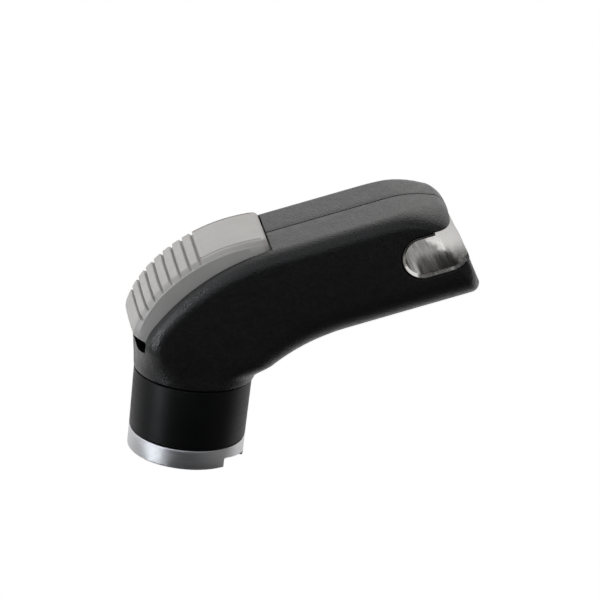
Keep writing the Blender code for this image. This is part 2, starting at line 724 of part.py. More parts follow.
def make_leads():
    """Flat contact strips from the socket to the lamp, one on each side of the lever."""
    low = [(0.0, 9.0, 16.9), (0.0, 8.4, 19.5), (0.4, 7.0, 23.0), (3.0, 6.0, 28.5)]
    along_top = ((22.0, 36.8), (28.0, 38.6), (36.0, 38.6), (43.0, 38.3), (50.0, 38.0))
    high = [arm_point(a, h, 6.0) for a, h in along_top]
    add_object("ground_strip", strip_path(smooth([Vector(p) for p in low] + high, 5), 1.6, 0.4), "brass")

    low = [(0.0, -2.6, 17.1), (0.0, -3.6, 19.5), (0.4, -5.2, 23.0), (3.0, -6.0, 28.5)]
    high = [arm_point(a, h, -6.0) for a, h in ((22.0, 36.8), (28.0, 38.6), (34.0, 38.6))]
    high += [arm_point(38.5, 37.6, -3.0), arm_point(41.2, 36.6, -0.5), arm_point(42.2, 36.6, 0.0)]
    add_object("lamp_lead", strip_path(smooth([Vector(p) for p in low] + high, 5), 1.6, 0.4), "brass")


def smooth(points, per_span):
    """Catmull-Rom curve through a few points."""
    ends = [points[0] * 2 - points[1]] + points + [points[-1] * 2 - points[-2]]
    curve = []
    for p0, p1, p2, p3 in zip(ends, ends[1:], ends[2:], ends[3:]):
        for k in range(per_span):
            t = k / per_span
            curve.append(0.5 * (2 * p1 + (p2 - p0) * t + (2 * p0 - 5 * p1 + 4 * p2 - p3) * t ** 2
                                + (3 * p1 - p0 - 3 * p2 + p3) * t ** 3))
    return curve + [points[-1]]


# ---------------------------------------------------------------- slider mechanism
LEVER_HALF = 1.3
SHOE_ANGLE = math.radians(9.75)             # the lever's upper end stands here
SHOE_LOW = SLIDE_R - 6.6
LEVER_TIP_R = 1.3


def make_mechanism():
    track = add_object("slider_track", band(degrees_range(4.0, 38.0, 12), SLIDE_R - 5.1, SLIDE_R - 4.1, 7.0),
                       "steel")
    window = band(degrees_range(7.0, 35.0, 10), SLIDE_R - 7.0, SLIDE_R - 2.0, 3.6)
    combine(track, add_object("cutter", window))

    shoe = add_object("slider_shoe", band(degrees_range(5.2, 30.5, 10), SHOE_LOW, SLIDE_R - 5.4, 6.0),
                      "black_plastic", slide_origin())
    neck = band(degrees_range(11.8, 29.7, 8), SHOE_LOW + 0.4, SLIDE_R - RECESS_DEPTH, 3.2)
    combine(shoe, add_object("neck", neck), "UNION")
    pocket_half = LEVER_TIP_R + 0.35
    tip = slide_arm(SHOE_ANGLE, SHOE_LOW + 0.8)
    turn = SHOE_ANGLE
    c = math.cos(turn)
    s = math.sin(turn)
    corners = [(-pocket_half, -3.0), (pocket_half, -3.0), (pocket_half, 2.4), (-pocket_half, 2.4)]
    pocket = [(tip[0] + u * c - v * s, tip[1] + u * s + v * c) for u, v in corners]
    combine(shoe, add_object("cutter", arm_prism(pocket, -LEVER_HALF - 0.4, LEVER_HALF + 0.4)))
    for number, angle in enumerate(SCREW_ANGLES, 1):
        bore = rod(0.95, slide_point(angle, SLIDE_R - 8.0), slide_point(angle, SLIDE_R), 12)
        combine(shoe, add_object("cutter", bore))
        screw = [(0, 0), (1.7, 0), (1.7, 0.9), (0.7, 0.9), (0.7, 6.9), (0, 6.9)]
        frame = along(slide_point(angle, 1.0) - slide_point(angle, 0.0), slide_point(angle, SHOE_LOW - 1.2))
        add_object("slider_screw_%d" % number, lathe(screw, 14, frame), "steel", slide_origin())

    pivot = ROCKER_PIN_AT
    lean = ROCKER_TURN / 2
    foot = (pivot[0] - ROCKER_FOOT * math.sin(lean), pivot[1] - ROCKER_FOOT * math.cos(lean))
    lever = arm_prism(lever_outline(tip, pivot, foot), -LEVER_HALF, LEVER_HALF)
    rocker = add_object("rocker_lever", lever, "steel", arm_point(*pivot))
    combine(rocker, add_object("cutter", rod(1.15, arm_point(*pivot, -5), arm_point(*pivot, 5), 18)))
    add_object("rocker_pin", rod(0.95, arm_point(*pivot, -7.0), arm_point(*pivot, 7.0), 18), "steel")
    make_return_spring()

    bar = rectangle(20.5, 61.2, *EJECTOR_H)
    ejector = add_object("ejector", arm_prism(bar, -7.5, 7.5), "white_plastic", arm_point(*foot))
    hole = rectangle(foot[0] - LEVER_TIP_R - 0.4, foot[0] + LEVER_TIP_R + 0.4, 20.0, 32.0)
    combine(ejector, add_object("cutter", arm_prism(hole, -LEVER_HALF - 0.4, LEVER_HALF + 0.4)))
    fork = rectangle(58.0, 64.0, 20.0, 32.0)
    combine(ejector, add_object("cutter", arm_prism(fork, -4.6, 4.6)))


def make_return_spring():
    """Torsion spring round the rocker's pin, with one leg along the lever and one towards the shells."""
    pivot = arm_point(*ROCKER_PIN_AT)
    points = []
    turns = 3
    steps = 12
    for k in range(turns * steps + 1):
        turn = 2 * math.pi * k / steps
        y = 1.75 + 1.2 * k / (turns * steps)
        points.append(pivot + Vector((1.55 * math.cos(turn), y, 1.55 * math.sin(turn))))
    first_leg = points[0] + Vector((0, 0, -4.5))
    last_leg = points[-1] + Vector((0, 0, 3.5))
    add_object("return_spring", tube_path([first_leg] + points + [last_leg], 0.2, 6), "steel")


def lever_outline(tip, pivot, foot):
    """Two-armed lever with round ends and a round hub, from the tip round the foot and back."""
    tip_dir = math.atan2(tip[1] - pivot[1], tip[0] - pivot[0])
    foot_dir = math.atan2(foot[1] - pivot[1], foot[0] - pivot[0]) + 2 * math.pi
    quarter = math.pi / 2
    points = arc_points(tip, LEVER_TIP_R, tip_dir - quarter, tip_dir + quarter, 7)
    inner = (tip_dir + foot_dir) / 2
    points.append((pivot[0] + 2.0 * math.cos(inner), pivot[1] + 2.0 * math.sin(inner)))
    points += arc_points(foot, LEVER_TIP_R, foot_dir - quarter, foot_dir + quarter, 7)
    points += arc_points(pivot, 2.4, foot_dir + quarter * 0.9, foot_dir + quarter * 2.2, 6)
    return points


# ---------------------------------------------------------------- blade holder in the jaw
def make_blade_holder():
    low = BLADE_H[0] - GUIDE_WALL
    high = BLADE_H[1] + GUIDE_WALL
    half = BLADE_HALF + GUIDE_WALL
    sleeve = arm_prism(rectangle(60.0, 76.6, low, high), -half, half)
    guide = add_object("blade_guide", sleeve, "black_plastic")
    slot = arm_prism(rectangle(55.0, 80.0, *BLADE_H), -BLADE_HALF, BLADE_HALF)
    combine(guide, add_object("cutter", slot))
    rivet_at = (RIVET_A, low)
    rivet_hole = rod(0.8, arm_point(RIVET_A, low - 1), arm_point(RIVET_A, low + 2), 14)
    combine(guide, add_object("cutter", rivet_hole))
    rivet = [(0, 0.15), (0.55, 0.15), (0.55, 1.75), (1.3, 1.75), (1.3, 2.05), (0.8, 2.25), (0, 2.3)]
    add_object("clamp_rivet", lathe(rivet, 16, along(arm_point(0, 1), arm_point(*rivet_at))), "steel")

    under = [(62.8, 26.45), (66.0, 26.45), (70.0, 27.15), (72.4, 27.35), (74.4, 26.75)]
    over = [(a, h + 0.4) for a, h in under[::-1]]
    leaf = arm_prism(under + over, -4.0, 4.0)
    spring = add_object("clamp_spring", leaf, "steel", arm_point(RIVET_A, 26.6))
    combine(spring, add_object("cutter", rod(0.8, arm_point(RIVET_A, 24), arm_point(RIVET_A, 29), 14)))


def make_liner():
    half = HALF_WIDTH - 0.5
    liner = add_object("reflector_liner", arm_prism(liner_outline(), -half, half), "polished_metal")
    port = rod(2.9, arm_point(56.0, LAMP_H), arm_point(64.0, LAMP_H), 24)
    combine(liner, add_object("cutter", port))


def build():
    for obj in list(bpy.data.objects):
        bpy.data.objects.remove(obj)
    make_housing()
    make_neck()
    make_contact()
    make_lamp()
    make_leads()
    make_slider()
    make_mechanism()
    make_blade_holder()
    make_liner()


build()
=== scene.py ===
"""Looks of the illuminated tongue blade holder head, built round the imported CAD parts.

Shapes are worked out in millimetres from the CAD's driving dimensions, with finer steps and rounded
edges. "Arm" coordinates are (a, h): a along the inclined arm and h square to it, in the XZ plane.
The floor, the lights and the camera are placed in metres.
"""
import json
import math

import bmesh
import bpy
from mathutils import Matrix, Vector


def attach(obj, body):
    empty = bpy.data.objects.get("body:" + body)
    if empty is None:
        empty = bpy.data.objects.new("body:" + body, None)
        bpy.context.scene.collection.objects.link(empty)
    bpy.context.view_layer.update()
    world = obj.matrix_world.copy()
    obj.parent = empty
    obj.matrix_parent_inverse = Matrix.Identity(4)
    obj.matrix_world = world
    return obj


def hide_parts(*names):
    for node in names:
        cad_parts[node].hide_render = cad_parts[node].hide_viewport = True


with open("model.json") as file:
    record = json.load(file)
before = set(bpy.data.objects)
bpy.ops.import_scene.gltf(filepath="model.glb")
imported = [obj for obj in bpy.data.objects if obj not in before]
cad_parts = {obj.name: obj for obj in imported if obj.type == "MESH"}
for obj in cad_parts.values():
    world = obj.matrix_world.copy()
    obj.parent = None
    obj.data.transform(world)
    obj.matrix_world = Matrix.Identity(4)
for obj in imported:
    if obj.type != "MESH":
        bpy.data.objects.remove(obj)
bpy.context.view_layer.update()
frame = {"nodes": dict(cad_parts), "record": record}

MM = 0.001

# ---------------- driving dimensions, in mm
GAP = 0.3
ARM_TILT = math.radians(20.0)
NECK_R = 14.3
RING_R = 14.0
RING_TOP = 4.9
COLLAR_TOP = 20.15
BODY_BASE = 20.4
SPIGOT_R = 11.9
SPIGOT_BASE = 17.6
SOCKET_R = 10.6
HALF_WIDTH = 14.4
ARM_TOP = 47.9
ARM_BOTTOM = 21.4
SEAM_HALF = 0.13
SEAM_ROUND = 0.22                     # rounding of the shells' edges at the seam
TOP_RADIUS = 3.4
BOTTOM_RADIUS = 9.5
ARM_RADII = (BOTTOM_RADIUS, TOP_RADIUS)

SLIDE_A = 32.4
SLIDE_R = 52.3
SLIDE_CENTRE = (SLIDE_A, ARM_TOP - SLIDE_R)
SLIDE_END = math.radians(42.0)
BACK_CORNER_R = 5.0
BACK_END_A = 75.0                     # the back's outline is drawn up to here
UNDER_A = 44.6
UNDER_R = 49.0
UNDER_END = math.radians(27.8)
UNDER_END_A = 80.0                    # and the underside's up to here
UNDER_FOOT = 0.4                      # the underside starts this much outside the neck
OUTLINE_BASE = BODY_BASE - 1.0        # both outlines start just below the body
FAN_PIVOT = (33.0, BODY_BASE)
FAN_FIRST = math.radians(177.0)
FAN_LAST = math.pi / 2 + ARM_TILT
FAN_STEPS = 62
SQUARE_OVER = math.radians(19.5)      # the round neck turns square over this much of the bend
ARM_STATIONS = 22
SEAM_POINTS = 5                       # points of a section beside the seam
CORNER_POINTS = 14                    # and on its rounded corner
CAVITY_POINTS = 8                     # and on each corner of the cavity's
BASE_ROUND = ((0.55, 0.0), (0.22, 0.1), (0.07, 0.28), (0.0, 0.55))  # (inset, lift) of the lower edge

DROOP_A = 62.0
DROOP_R = 19.0
FRONT_A = 77.8
FRONT_LEAN = math.tan(math.radians(9.8))
LEAN_A = 74.0                         # the lean is measured up to the top line's height here
FRONT_ROUND = 2.2
NOSE_REACH = 1.9                      # the upper jaw stands out by this much more
NOSE_ROUND = 5.0                      # rounding of the front's upper edge
NOSE_RADIUS = 4.8                     # corner radius of the top at the front
NOSE_SPREAD = 6.0                     # and how much wider than high that corner is
NOSE_A = 60.0
FRONT_CROWN = 0.2                     # the front bulges by this much in its middle
NOSE_CROWN = 2.2                      # and by this much more at the top

WALL = 2.2
TOP_WALL = 3.2
SPIGOT_WALL = 1.6
CAVITY_FIRST = math.radians(171.6)    # the cavity's first section in the bend
CAVITY_ARM = 46.0                     # its first one in the straight arm
CAVITY_END = 56.5                     # and its end

NOTCH_H = 36.6
NOTCH_HALF = 5.5
NOTCH_A = 66.1
ROOF_A = 74.0                         # the upper jaw's lower edge is straight up to here
ROOF_ROUND = 0.8
STRIP_END_A = 70.0                    # the liner's upper end
LINER_T = 0.8
RIM = 0.62                            # width of the strip's flared edges
PAINTED_REFLECTION_A = 71.1                      # painted reflection: the strip's colour is bright in front of a slanting line and dark behind it
PAINTED_REFLECTION_SLANT = 0.26
LIP_A = 72.0
LIP_END = 76.6
LIP_RISE = 2.3
MOUTH_A = 84.0                        # the notch is cut open up to here, past the front
EDGE_ROUND = 0.12                     # rounding of the notch's edges on the shells
STRIP_INSET = 0.08                    # the strip's edges lie this far inside the shells' sides
PAINTED_REFLECTION_FADE = (-0.7, 0.9)            # the painted reflection sets in between these distances from its line
PAINTED_RIM_HIGHLIGHT_FADE = (0.95, 0.75)               # and the painted highlight on the rims between these ones from the sides
LAMP_HOLE_R = 2.9                     # hole in the strip that the lamp shines through
LAMP_HOLE_ENDS = (56.0, 64.0)
LAMP_BORE_R = 4.3                     # bore in the shells behind it
LAMP_BORE_ENDS = (CAVITY_END - 1.5, 62.0)

SLIDER_HALF = 10.6
SLIDER_TRAVEL = math.radians(2.6)
RECESS_DEPTH = 1.6
BED_FRONT = math.radians(0.6)         # room in front of the slider
BED_TAIL = math.radians(0.25)         # and behind it, when it is pulled back
TAIL_HALF = 10.4                      # half width of the opening under the slider's tail
TAIL_START = math.radians(0.3)        # the opening starts this far behind the tail at rest
TAIL_ROOM = math.radians(0.9)         # and ends this far behind it when it is pulled back
TAIL_SQUARE = 0.985                   # its curved end is drawn this far to its tip
SLOT_HALF = 3.6                       # slot through which the slider holds its shoe
SLOT_ENDS = (math.radians(9.0), math.radians(35.0))
SLIDER_FRONT = math.radians(0.75)
SLIDER_TAIL = math.radians(43.0)
PAD_END = math.radians(17.3)
GROOVES = 8
GROOVE_PITCH = math.radians(2.85)
GROOVE_DEPTH = 1.0
GROOVE_PROFILE = ((0.0, 0.04), (0.025, 0.75), (0.04, 0.97), (0.06, 1.0), (0.2, 1.0), (0.225, 0.95),
                  (0.25, 0.62), (0.28, 0.2), (0.31, 0.05), (0.38, 0.0), (0.5, 0.0), (0.7, 0.0),
                  (0.9, 0.0), (0.98, 0.02))  # (part of the pitch, part of the depth)
FLANK_DROP = 1.15                     # the slider's flank ends this far below its top
FLANK_LEAN = 0.78                     # and this far inside its lower edge
TOP_EDGE = 1.3                        # width of the rounding between flank and top
TOP_CROWN = 0.2                       # rise of the top to its middle
CREASE = 0.4                          # depth of the line beside the pad
CREASE_INSETS = (2.2, 2.42, 2.6)      # the line's two edges and the pad's, from the slider's side
FRONT_ROUNDING = (1.5, 0.75)          # corner radius in plan and drop of the slider's front end
TAIL_ROUNDING = (2.6, 1.1)            # and of its tail
SLIDER_SCREWS = (math.radians(20.5), math.radians(26.5))
SLIDER_SCREW_R = 1.0

BLADE_H = (26.1, 29.0)
BLADE_HALF = 10.4
GUIDE_WALL = 0.7
GUIDE_END = 90.0                      # the blade's channel is cut open up to here
OUTSIDE = 20.0                        # y beyond the shells' sides
ROCKER_PIN_AT = (25.0, 34.2)
PIN_BOSS_R = 2.4
PIN_BOSS_END = 3.2                    # y at which the pin's bosses end
PIN_BORE_R = 1.25
PIN_BORE_HALF = 7.4
HOUSING_SCREWS = ((8.5, 28.0), (38.0, 42.2), (24.0, 22.6))
SCREW_BOSS_R = 2.6
SCREW_BORE_R = 1.1
SCREW_BORE_Y = -9.6                   # the bores end here, in the near shell
SCREW_TIP_Y = -9.0
SCREW_TIP = ((0.0, 0.0), (0.4, 0.0), (0.9, 1.2))  # (radius, distance from the tip)
SCREW_R = 0.9
SCREW_HEAD_Y = 11.4
SCREW_HEAD = ((2.1, 0.0), (2.1, 0.7), (1.95, 1.0), (1.6, 1.25), (0.9, 1.38), (0.0, 1.42))
SCREW_WELL = ((0.0, 0.0), (2.4, 0.0), (2.4, 2.3), (2.9, 3.4), (2.9, 9.0), (0.0, 9.0))
CROSS_TOP = 1.5                       # height above SCREW_HEAD_Y from which the cross is sunk
CROSS_DEPTH = 0.85
CROSS_HALVES = (1.15, 0.24)           # half length and half width of its bars

COLLAR_BORE_R = 12.2
RING_BORE_R = SOCKET_R + 1.5
RECESS_MIDDLES = (math.radians(-36.0), math.radians(144.0))
RECESS_HALF = math.radians(20.0)
PIN_RECESS_DEPTH = 2.4                # at its deep end
PIN_RECESS_SLOPE = 1.2                # less this much at the other
SOCKET_WALL = 1.2
SOCKET_ENDS = (0.5, 16.6)
DISC_HOLE_R = 2.6
DISC_WELL_R = 3.3
DISC_LEVELS = (9.2, 10.2, 13.8)       # the disc's underside, its well's floor and its top
PLUNGER = ((0.0, 6.5), (1.0, 6.5), (1.7, 6.7), (2.15, 7.1), (2.3, 7.7), (2.3, 10.5), (2.9, 10.5),
           (2.9, 11.6), (1.2, 11.6), (1.2, 13.0), (0.0, 13.0))

# ---------------- studio, in metres
FLOOR_Z = -0.12
FLOOR_RADII = (1.5, 2.5)              # the floor is flat up to the second one
COVE_R = 1.0                          # then it turns up into the wall
WALL_TOP = 4.0
TARGET = Vector((23.96, 0.0, 39.19)) * MM  # what the camera looks at
CAMERA = {"azimuth": -10.98, "elevation": 21.73, "roll": 6.56, "distance": 1.0, "lens": 251.5}
COOL = (0.90, 0.95, 1.0)              # colour of the lights on the left
LOW_AIM = (0.0, 0.0, -0.05)           # aim of left_strip and right_wall
DARKEST = 0.04
SURROUNDINGS = (((0.0, 0.958, 0.287), -0.16, 0.5, 0.97),  # direction, start and end along it, level
                ((0.0, -0.2, 0.98), 0.0, 0.9, 0.2))


# ---------------- places
def arm(a, h):
    """World (x, z) of a point given in arm coordinates."""
    c = math.cos(ARM_TILT)
    s = math.sin(ARM_TILT)
    return a * c - h * s, a * s + h * c


def arm_point(a, h, y=0.0):
    x, z = arm(a, h)
    return Vector((x, y, z))


def slide_arm(angle, radius=SLIDE_R):
    """Arm coordinates of a point on the slider's arc, angle measured back from the front end."""
    return SLIDE_CENTRE[0] - radius * math.sin(angle), SLIDE_CENTRE[1] + radius * math.cos(angle)


def slide_point(angle, radius, y=0.0):
    return arm_point(*slide_arm(angle, radius), y)


def spaced(first, last, count):
    """count values from first to last, both included."""
    return [first + (last - first) * k / (count - 1) for k in range(count)]


def arc_points(centre, radius, start, end, count):
    return [(centre[0] + radius * math.cos(t), centre[1] + radius * math.sin(t))
            for t in spaced(start, end, count)]


def along(direction, at):
    """Frame whose Z axis points along a direction, with its origin at a point."""
    turn = Vector(direction).to_track_quat("Z", "Y").to_matrix().to_4x4()
    return Matrix.Translation(Vector(at)) @ turn


# ---------------- mesh makers
def loft(rings):
    """Skin a list of rings of equal length, with both ends capped."""
    bm = bmesh.new()
    verts = [[bm.verts.new(p) for p in ring] for ring in rings]
    for low, high in zip(verts, verts[1:]):
        for k in range(len(low)):
            j = (k + 1) % len(low)
            bm.faces.new((low[k], low[j], high[j], high[k]))
    bm.faces.new(verts[0])
    bm.faces.new(verts[-1])
    return bm


def arm_prism(outline, y_low, y_high):
    """Extrude an outline given in arm coordinates along Y."""
    return loft([[arm_point(a, h, y) for a, h in outline] for y in (y_low, y_high)])


def rectangle(a_low, a_high, h_low, h_high):
    return [(a_low, h_low), (a_high, h_low), (a_high, h_high), (a_low, h_high)]


def lathe(profile, steps, axis_frame=None):
    """Turn a closed (radius, height) profile about Z; points at radius 0 close on the axis."""
    turn_frame = axis_frame or Matrix.Identity(4)
    bm = bmesh.new()
    poles = {i: bm.verts.new(turn_frame @ Vector((0, 0, t))) for i, (r, t) in enumerate(profile) if r == 0}
    columns = []
    for k in range(steps):
        turn = 2 * math.pi * k / steps
        column = []
        for i, (r, t) in enumerate(profile):
            spot = Vector((r * math.cos(turn), r * math.sin(turn), t))
            column.append(poles[i] if i in poles else bm.verts.new(turn_frame @ spot))
        columns.append(column)
    for here, there in zip(columns, columns[1:] + columns[:1]):
        for i in range(len(profile)):
            j = (i + 1) % len(profile)
            corners = []
            for vert in (here[i], here[j], there[j], there[i]):
                if vert not in corners:
                    corners.append(vert)
            if len(corners) > 2:
                bm.faces.new(corners)
    return bm


def rod(radius, start, end, steps):
    """Round bar between two points."""
    span = Vector(end) - Vector(start)
    profile = [(0, 0), (radius, 0), (radius, span.length), (0, span.length)]
    return lathe(profile, steps, along(span, start))


def rounded(profile, radius, steps=4):
    """Closed profile with each corner replaced by an arc of at most the given radius."""
    soft = []
    for k, point in enumerate(profile):
        here = Vector(point)
        back = Vector(profile[k - 1]) - here
        ahead = Vector(profile[(k + 1) % len(profile)]) - here
        if here.x == 0 or back.angle(ahead) > math.radians(165):
            soft.append(tuple(here))
            continue
        reach = min(radius, back.length * 0.45, ahead.length * 0.45)
        start = here + back.normalized() * reach
        end = here + ahead.normalized() * reach
        for t in spaced(0.0, 1.0, steps):
            mixed = start * (1 - t) ** 2 + here * 2 * t * (1 - t) + end * t ** 2
            soft.append(tuple(mixed))
    return soft


def new_object(name, bm):
    """Turn a millimetre mesh into an object in metres."""
    bmesh.ops.recalc_face_normals(bm, faces=bm.faces)
    bmesh.ops.transform(bm, verts=bm.verts, matrix=Matrix.Scale(MM, 4))
    mesh = bpy.data.meshes.new(name)
    bm.to_mesh(mesh)
    bm.free()
    made = bpy.data.objects.new(name, mesh)
    bpy.context.scene.collection.objects.link(made)
    return made


def cut(obj, bm, operation="DIFFERENCE"):
    """Apply an exact Boolean with a millimetre mesh."""
    tool = new_object("cutter", bm)
    boolean = obj.modifiers.new("boolean", "BOOLEAN")
    boolean.solver = "EXACT"
    boolean.operation = operation
    boolean.object = tool
    bpy.context.view_layer.update()
    depsgraph = bpy.context.evaluated_depsgraph_get()
    result = bpy.data.meshes.new_from_object(obj.evaluated_get(depsgraph))
    obj.modifiers.clear()
    obj.data = result
    bpy.data.objects.remove(tool)


def finish_piece(obj, body, nodes, finish, sharp=32.0):
    """Smooth shading, material, and the body and CAD nodes that the piece belongs to."""
    obj.data.materials.clear()
    obj.data.materials.append(finish)
    obj.data.shade_smooth()
    obj.data.set_sharp_from_angle(angle=math.radians(sharp))
    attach(obj, body)
    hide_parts(*nodes)


# ---------------- materials
class Finish:
    """A Principled material with helpers that add procedural detail in millimetre coordinates."""

    def __init__(self, name, colour, roughness, metallic=0.0, **constants):
        self.material = bpy.data.materials.new(name)
        self.material.use_nodes = True
        self.nodes = self.material.node_tree.nodes
        self.links = self.material.node_tree.links
        self.shader = self.nodes["Principled BSDF"]
        self.shader.inputs["Base Color"].default_value = (*colour, 1.0)
        self.shader.inputs["Roughness"].default_value = roughness
        self.shader.inputs["Metallic"].default_value = metallic
        for key, value in constants.items():
            self.shader.inputs[key.replace("_", " ")].default_value = value
        self.coordinates = self.nodes.new("ShaderNodeTexCoord")
        self.last_bump = None

    def noise(self, scale, detail=4.0, stretch=(1.0, 1.0, 1.0), rough=0.55):
        """Noise whose scale is in features per millimetre, squeezed by stretch on each axis."""
        mapping = self.nodes.new("ShaderNodeMapping")
        mapping.inputs["Scale"].default_value = [scale * k / MM for k in stretch]
        self.links.new(self.coordinates.outputs["Object"], mapping.inputs["Vector"])
        texture = self.nodes.new("ShaderNodeTexNoise")
        texture.inputs["Scale"].default_value = 1.0
        texture.inputs["Detail"].default_value = detail
        texture.inputs["Roughness"].default_value = rough
        self.links.new(mapping.outputs["Vector"], texture.inputs["Vector"])
        return texture.outputs["Fac"]

    def cells(self, scale):
        """Distance inside random cells, for a pearled grain."""
        texture = self.nodes.new("ShaderNodeTexVoronoi")
        texture.inputs["Scale"].default_value = scale / MM
        self.links.new(self.coordinates.outputs["Object"], texture.inputs["Vector"])
        return texture.outputs["Distance"]

    def spread(self, value, low, high, low_at=0.3, high_at=0.7):
        """Map a noise value onto a range."""
        node = self.nodes.new("ShaderNodeMapRange")
        node.inputs["From Min"].default_value = low_at
        node.inputs["From Max"].default_value = high_at
        node.inputs["To Min"].default_value = low
        node.inputs["To Max"].default_value = high
        self.links.new(value, node.inputs["Value"])
        return node.outputs["Result"]

    def tint(self, value, dark, light, low_at=0.3, high_at=0.7):
        """Base colour that varies between two colours."""
        ramp = self.nodes.new("ShaderNodeValToRGB")
        ramp.color_ramp.elements[0].position = low_at
        ramp.color_ramp.elements[0].color = (*dark, 1.0)
        ramp.color_ramp.elements[1].position = high_at
        ramp.color_ramp.elements[1].color = (*light, 1.0)
        self.links.new(value, ramp.inputs["Fac"])
        self.links.new(ramp.outputs["Color"], self.shader.inputs["Base Color"])

    def ramp(self, direction, start, end, wander=None):
        """Rise from 0 to 1 between two distances in millimetres along a direction."""
        reach = self.nodes.new("ShaderNodeVectorMath")
        reach.operation = "DOT_PRODUCT"
        reach.inputs[1].default_value = [k / MM for k in direction]
        self.links.new(self.coordinates.outputs["Object"], reach.inputs[0])
        place = reach.outputs["Value"]
        if wander is not None:
            place = self.maths("ADD", place, wander)
        return self.spread(place, 0.0, 1.0, start, end)

    def maths(self, operation, first, second):
        """One operation on two values."""
        node = self.nodes.new("ShaderNodeMath")
        node.operation = operation
        self.links.new(first, node.inputs[0])
        self.links.new(second, node.inputs[1])
        return node.outputs["Value"]

    def gloss(self, value, low, high):
        """Roughness that varies between two values."""
        self.links.new(self.spread(value, low, high), self.shader.inputs["Roughness"])

    def bump(self, value, depth):
        """Add a bump of the given depth in millimetres, on top of any earlier one."""
        node = self.nodes.new("ShaderNodeBump")
        node.inputs["Distance"].default_value = depth * MM
        node.inputs["Strength"].default_value = 1.0
        self.links.new(value, node.inputs["Height"])
        if self.last_bump is not None:
            self.links.new(self.last_bump.outputs["Normal"], node.inputs["Normal"])
        self.links.new(node.outputs["Normal"], self.shader.inputs["Normal"])
        self.last_bump = node

    def brushed(self, axis, amount, rotation=0.0):
        """Anisotropic reflection around an axis."""
        tangent = self.nodes.new("ShaderNodeTangent")
        tangent.direction_type = "RADIAL"
        tangent.axis = axis
        self.links.new(tangent.outputs["Tangent"], self.shader.inputs["Tangent"])
        self.shader.inputs["Anisotropic"].default_value = amount
        self.shader.inputs["Anisotropic Rotation"].default_value = rotation
        return self


def shell_plastic():
    """Fine-grained black plastic."""
    made = Finish("shell_plastic", (0.008, 0.008, 0.0075), 0.4, Specular_IOR_Level=0.62)
    speckle = made.noise(1.5, detail=3.0, rough=0.7)
    made.tint(speckle, (0.003, 0.003, 0.003), (0.011, 0.0108, 0.0102), 0.35, 0.65)
    made.gloss(made.noise(0.5), 0.32, 0.42)
    made.bump(made.noise(0.7, detail=3.0), 0.04)
    made.bump(made.cells(2.4), 0.08)
    return made.material


def collar_plastic():
    """Smoother satin black plastic with faint turning marks."""
    made = Finish("collar_plastic", (0.004, 0.004, 0.004), 0.5, Specular_IOR_Level=0.22)
    made.tint(made.noise(0.1), (0.0015, 0.0015, 0.0015), (0.004, 0.004, 0.0038))
    made.gloss(made.noise(0.6, stretch=(0.3, 0.3, 4.0)), 0.44, 0.54)
    made.bump(made.noise(2.0, detail=2.0), 0.008)
    return made.material


def slider_plastic():
    """Light warm grey plastic, polished a little by thumbs."""
    made = Finish("slider_plastic", (0.46, 0.44, 0.42), 0.42)
    made.tint(made.noise(0.25, stretch=(0.4, 1.6, 0.4)), (0.44, 0.421, 0.402), (0.485, 0.465, 0.444))
    made.gloss(made.noise(0.3), 0.38, 0.50)
    made.bump(made.noise(2.6, detail=3.0), 0.02)
    return made.material


def liner_metal():
    """Polished strip with rolling streaks across it, with a painted reflection in its colour: dark towards
    the rear, bright towards the front and on the rims.
    """
    made = Finish("liner_metal", (0.80, 0.785, 0.765), 0.2, 1.0, Specular_Tint=(0.38, 0.38, 0.38, 1.0))
    streaks = made.noise(1.3, stretch=(1.0, 0.03, 1.0), rough=0.7)
    waves = made.noise(0.25, detail=2.0, stretch=(1.0, 0.6, 1.0))
    # Painted reflection and highlight: the base colour is dark behind a slanting line and bright in front of
    # it and along the rims.
    lean = (math.cos(ARM_TILT), PAINTED_REFLECTION_SLANT, math.sin(ARM_TILT))
    start, end = [PAINTED_REFLECTION_A + fade for fade in PAINTED_REFLECTION_FADE]
    front = made.ramp(lean, start, end, made.spread(waves, -1.2, 1.2))
    start, end = [HALF_WIDTH - fade for fade in PAINTED_RIM_HIGHLIGHT_FADE]
    painted_rim_highlights = [made.ramp((0.0, side, 0.0), start, end) for side in (-1.0, 1.0)]
    painted_highlight = made.maths("MAXIMUM", front, made.maths("MAXIMUM", *painted_rim_highlights))
    # painted shade: the darker colour level behind the line; the lighter level in front of it and on the rims
    # is the painted reflection
    painted_dark_reflection = made.spread(streaks, 0.15, 0.5)
    clear = made.spread(streaks, 0.78, 0.9)
    value = made.maths("ADD", made.maths("MULTIPLY", painted_highlight, made.maths("SUBTRACT", clear, painted_dark_reflection)), painted_dark_reflection)
    made.tint(value, (0.0, 0.0, 0.0), (1.0, 0.985, 0.96), 0.0, 1.0)
    made.gloss(streaks, 0.16, 0.30)
    made.bump(made.noise(5.0, stretch=(1.0, 0.02, 1.0)), 0.006)
    return made.brushed("Y", 0.5, 0.25).material


def ring_metal():
    """Turned aluminium, brushed round the neck."""
    made = Finish("ring_metal", (0.66, 0.66, 0.67), 0.4, 1.0)
    streaks = made.noise(3.0, stretch=(0.04, 0.04, 1.0), rough=0.7)
    made.tint(streaks, (0.58, 0.58, 0.59), (0.74, 0.74, 0.755))
    made.gloss(streaks, 0.34, 0.5)
    made.bump(made.noise(6.0, stretch=(0.02, 0.02, 1.0)), 0.006)
    return made.brushed("Z", 0.7).material


def plain_metal(name, dark, light, roughness):
    """Drawn or turned metal of the small inner pieces."""
    made = Finish(name, light, roughness, 1.0)
    made.tint(made.noise(0.8), dark, light)
    made.gloss(made.noise(1.5), roughness - 0.06, roughness + 0.08)
    made.bump(made.noise(4.0), 0.004)
    return made.material


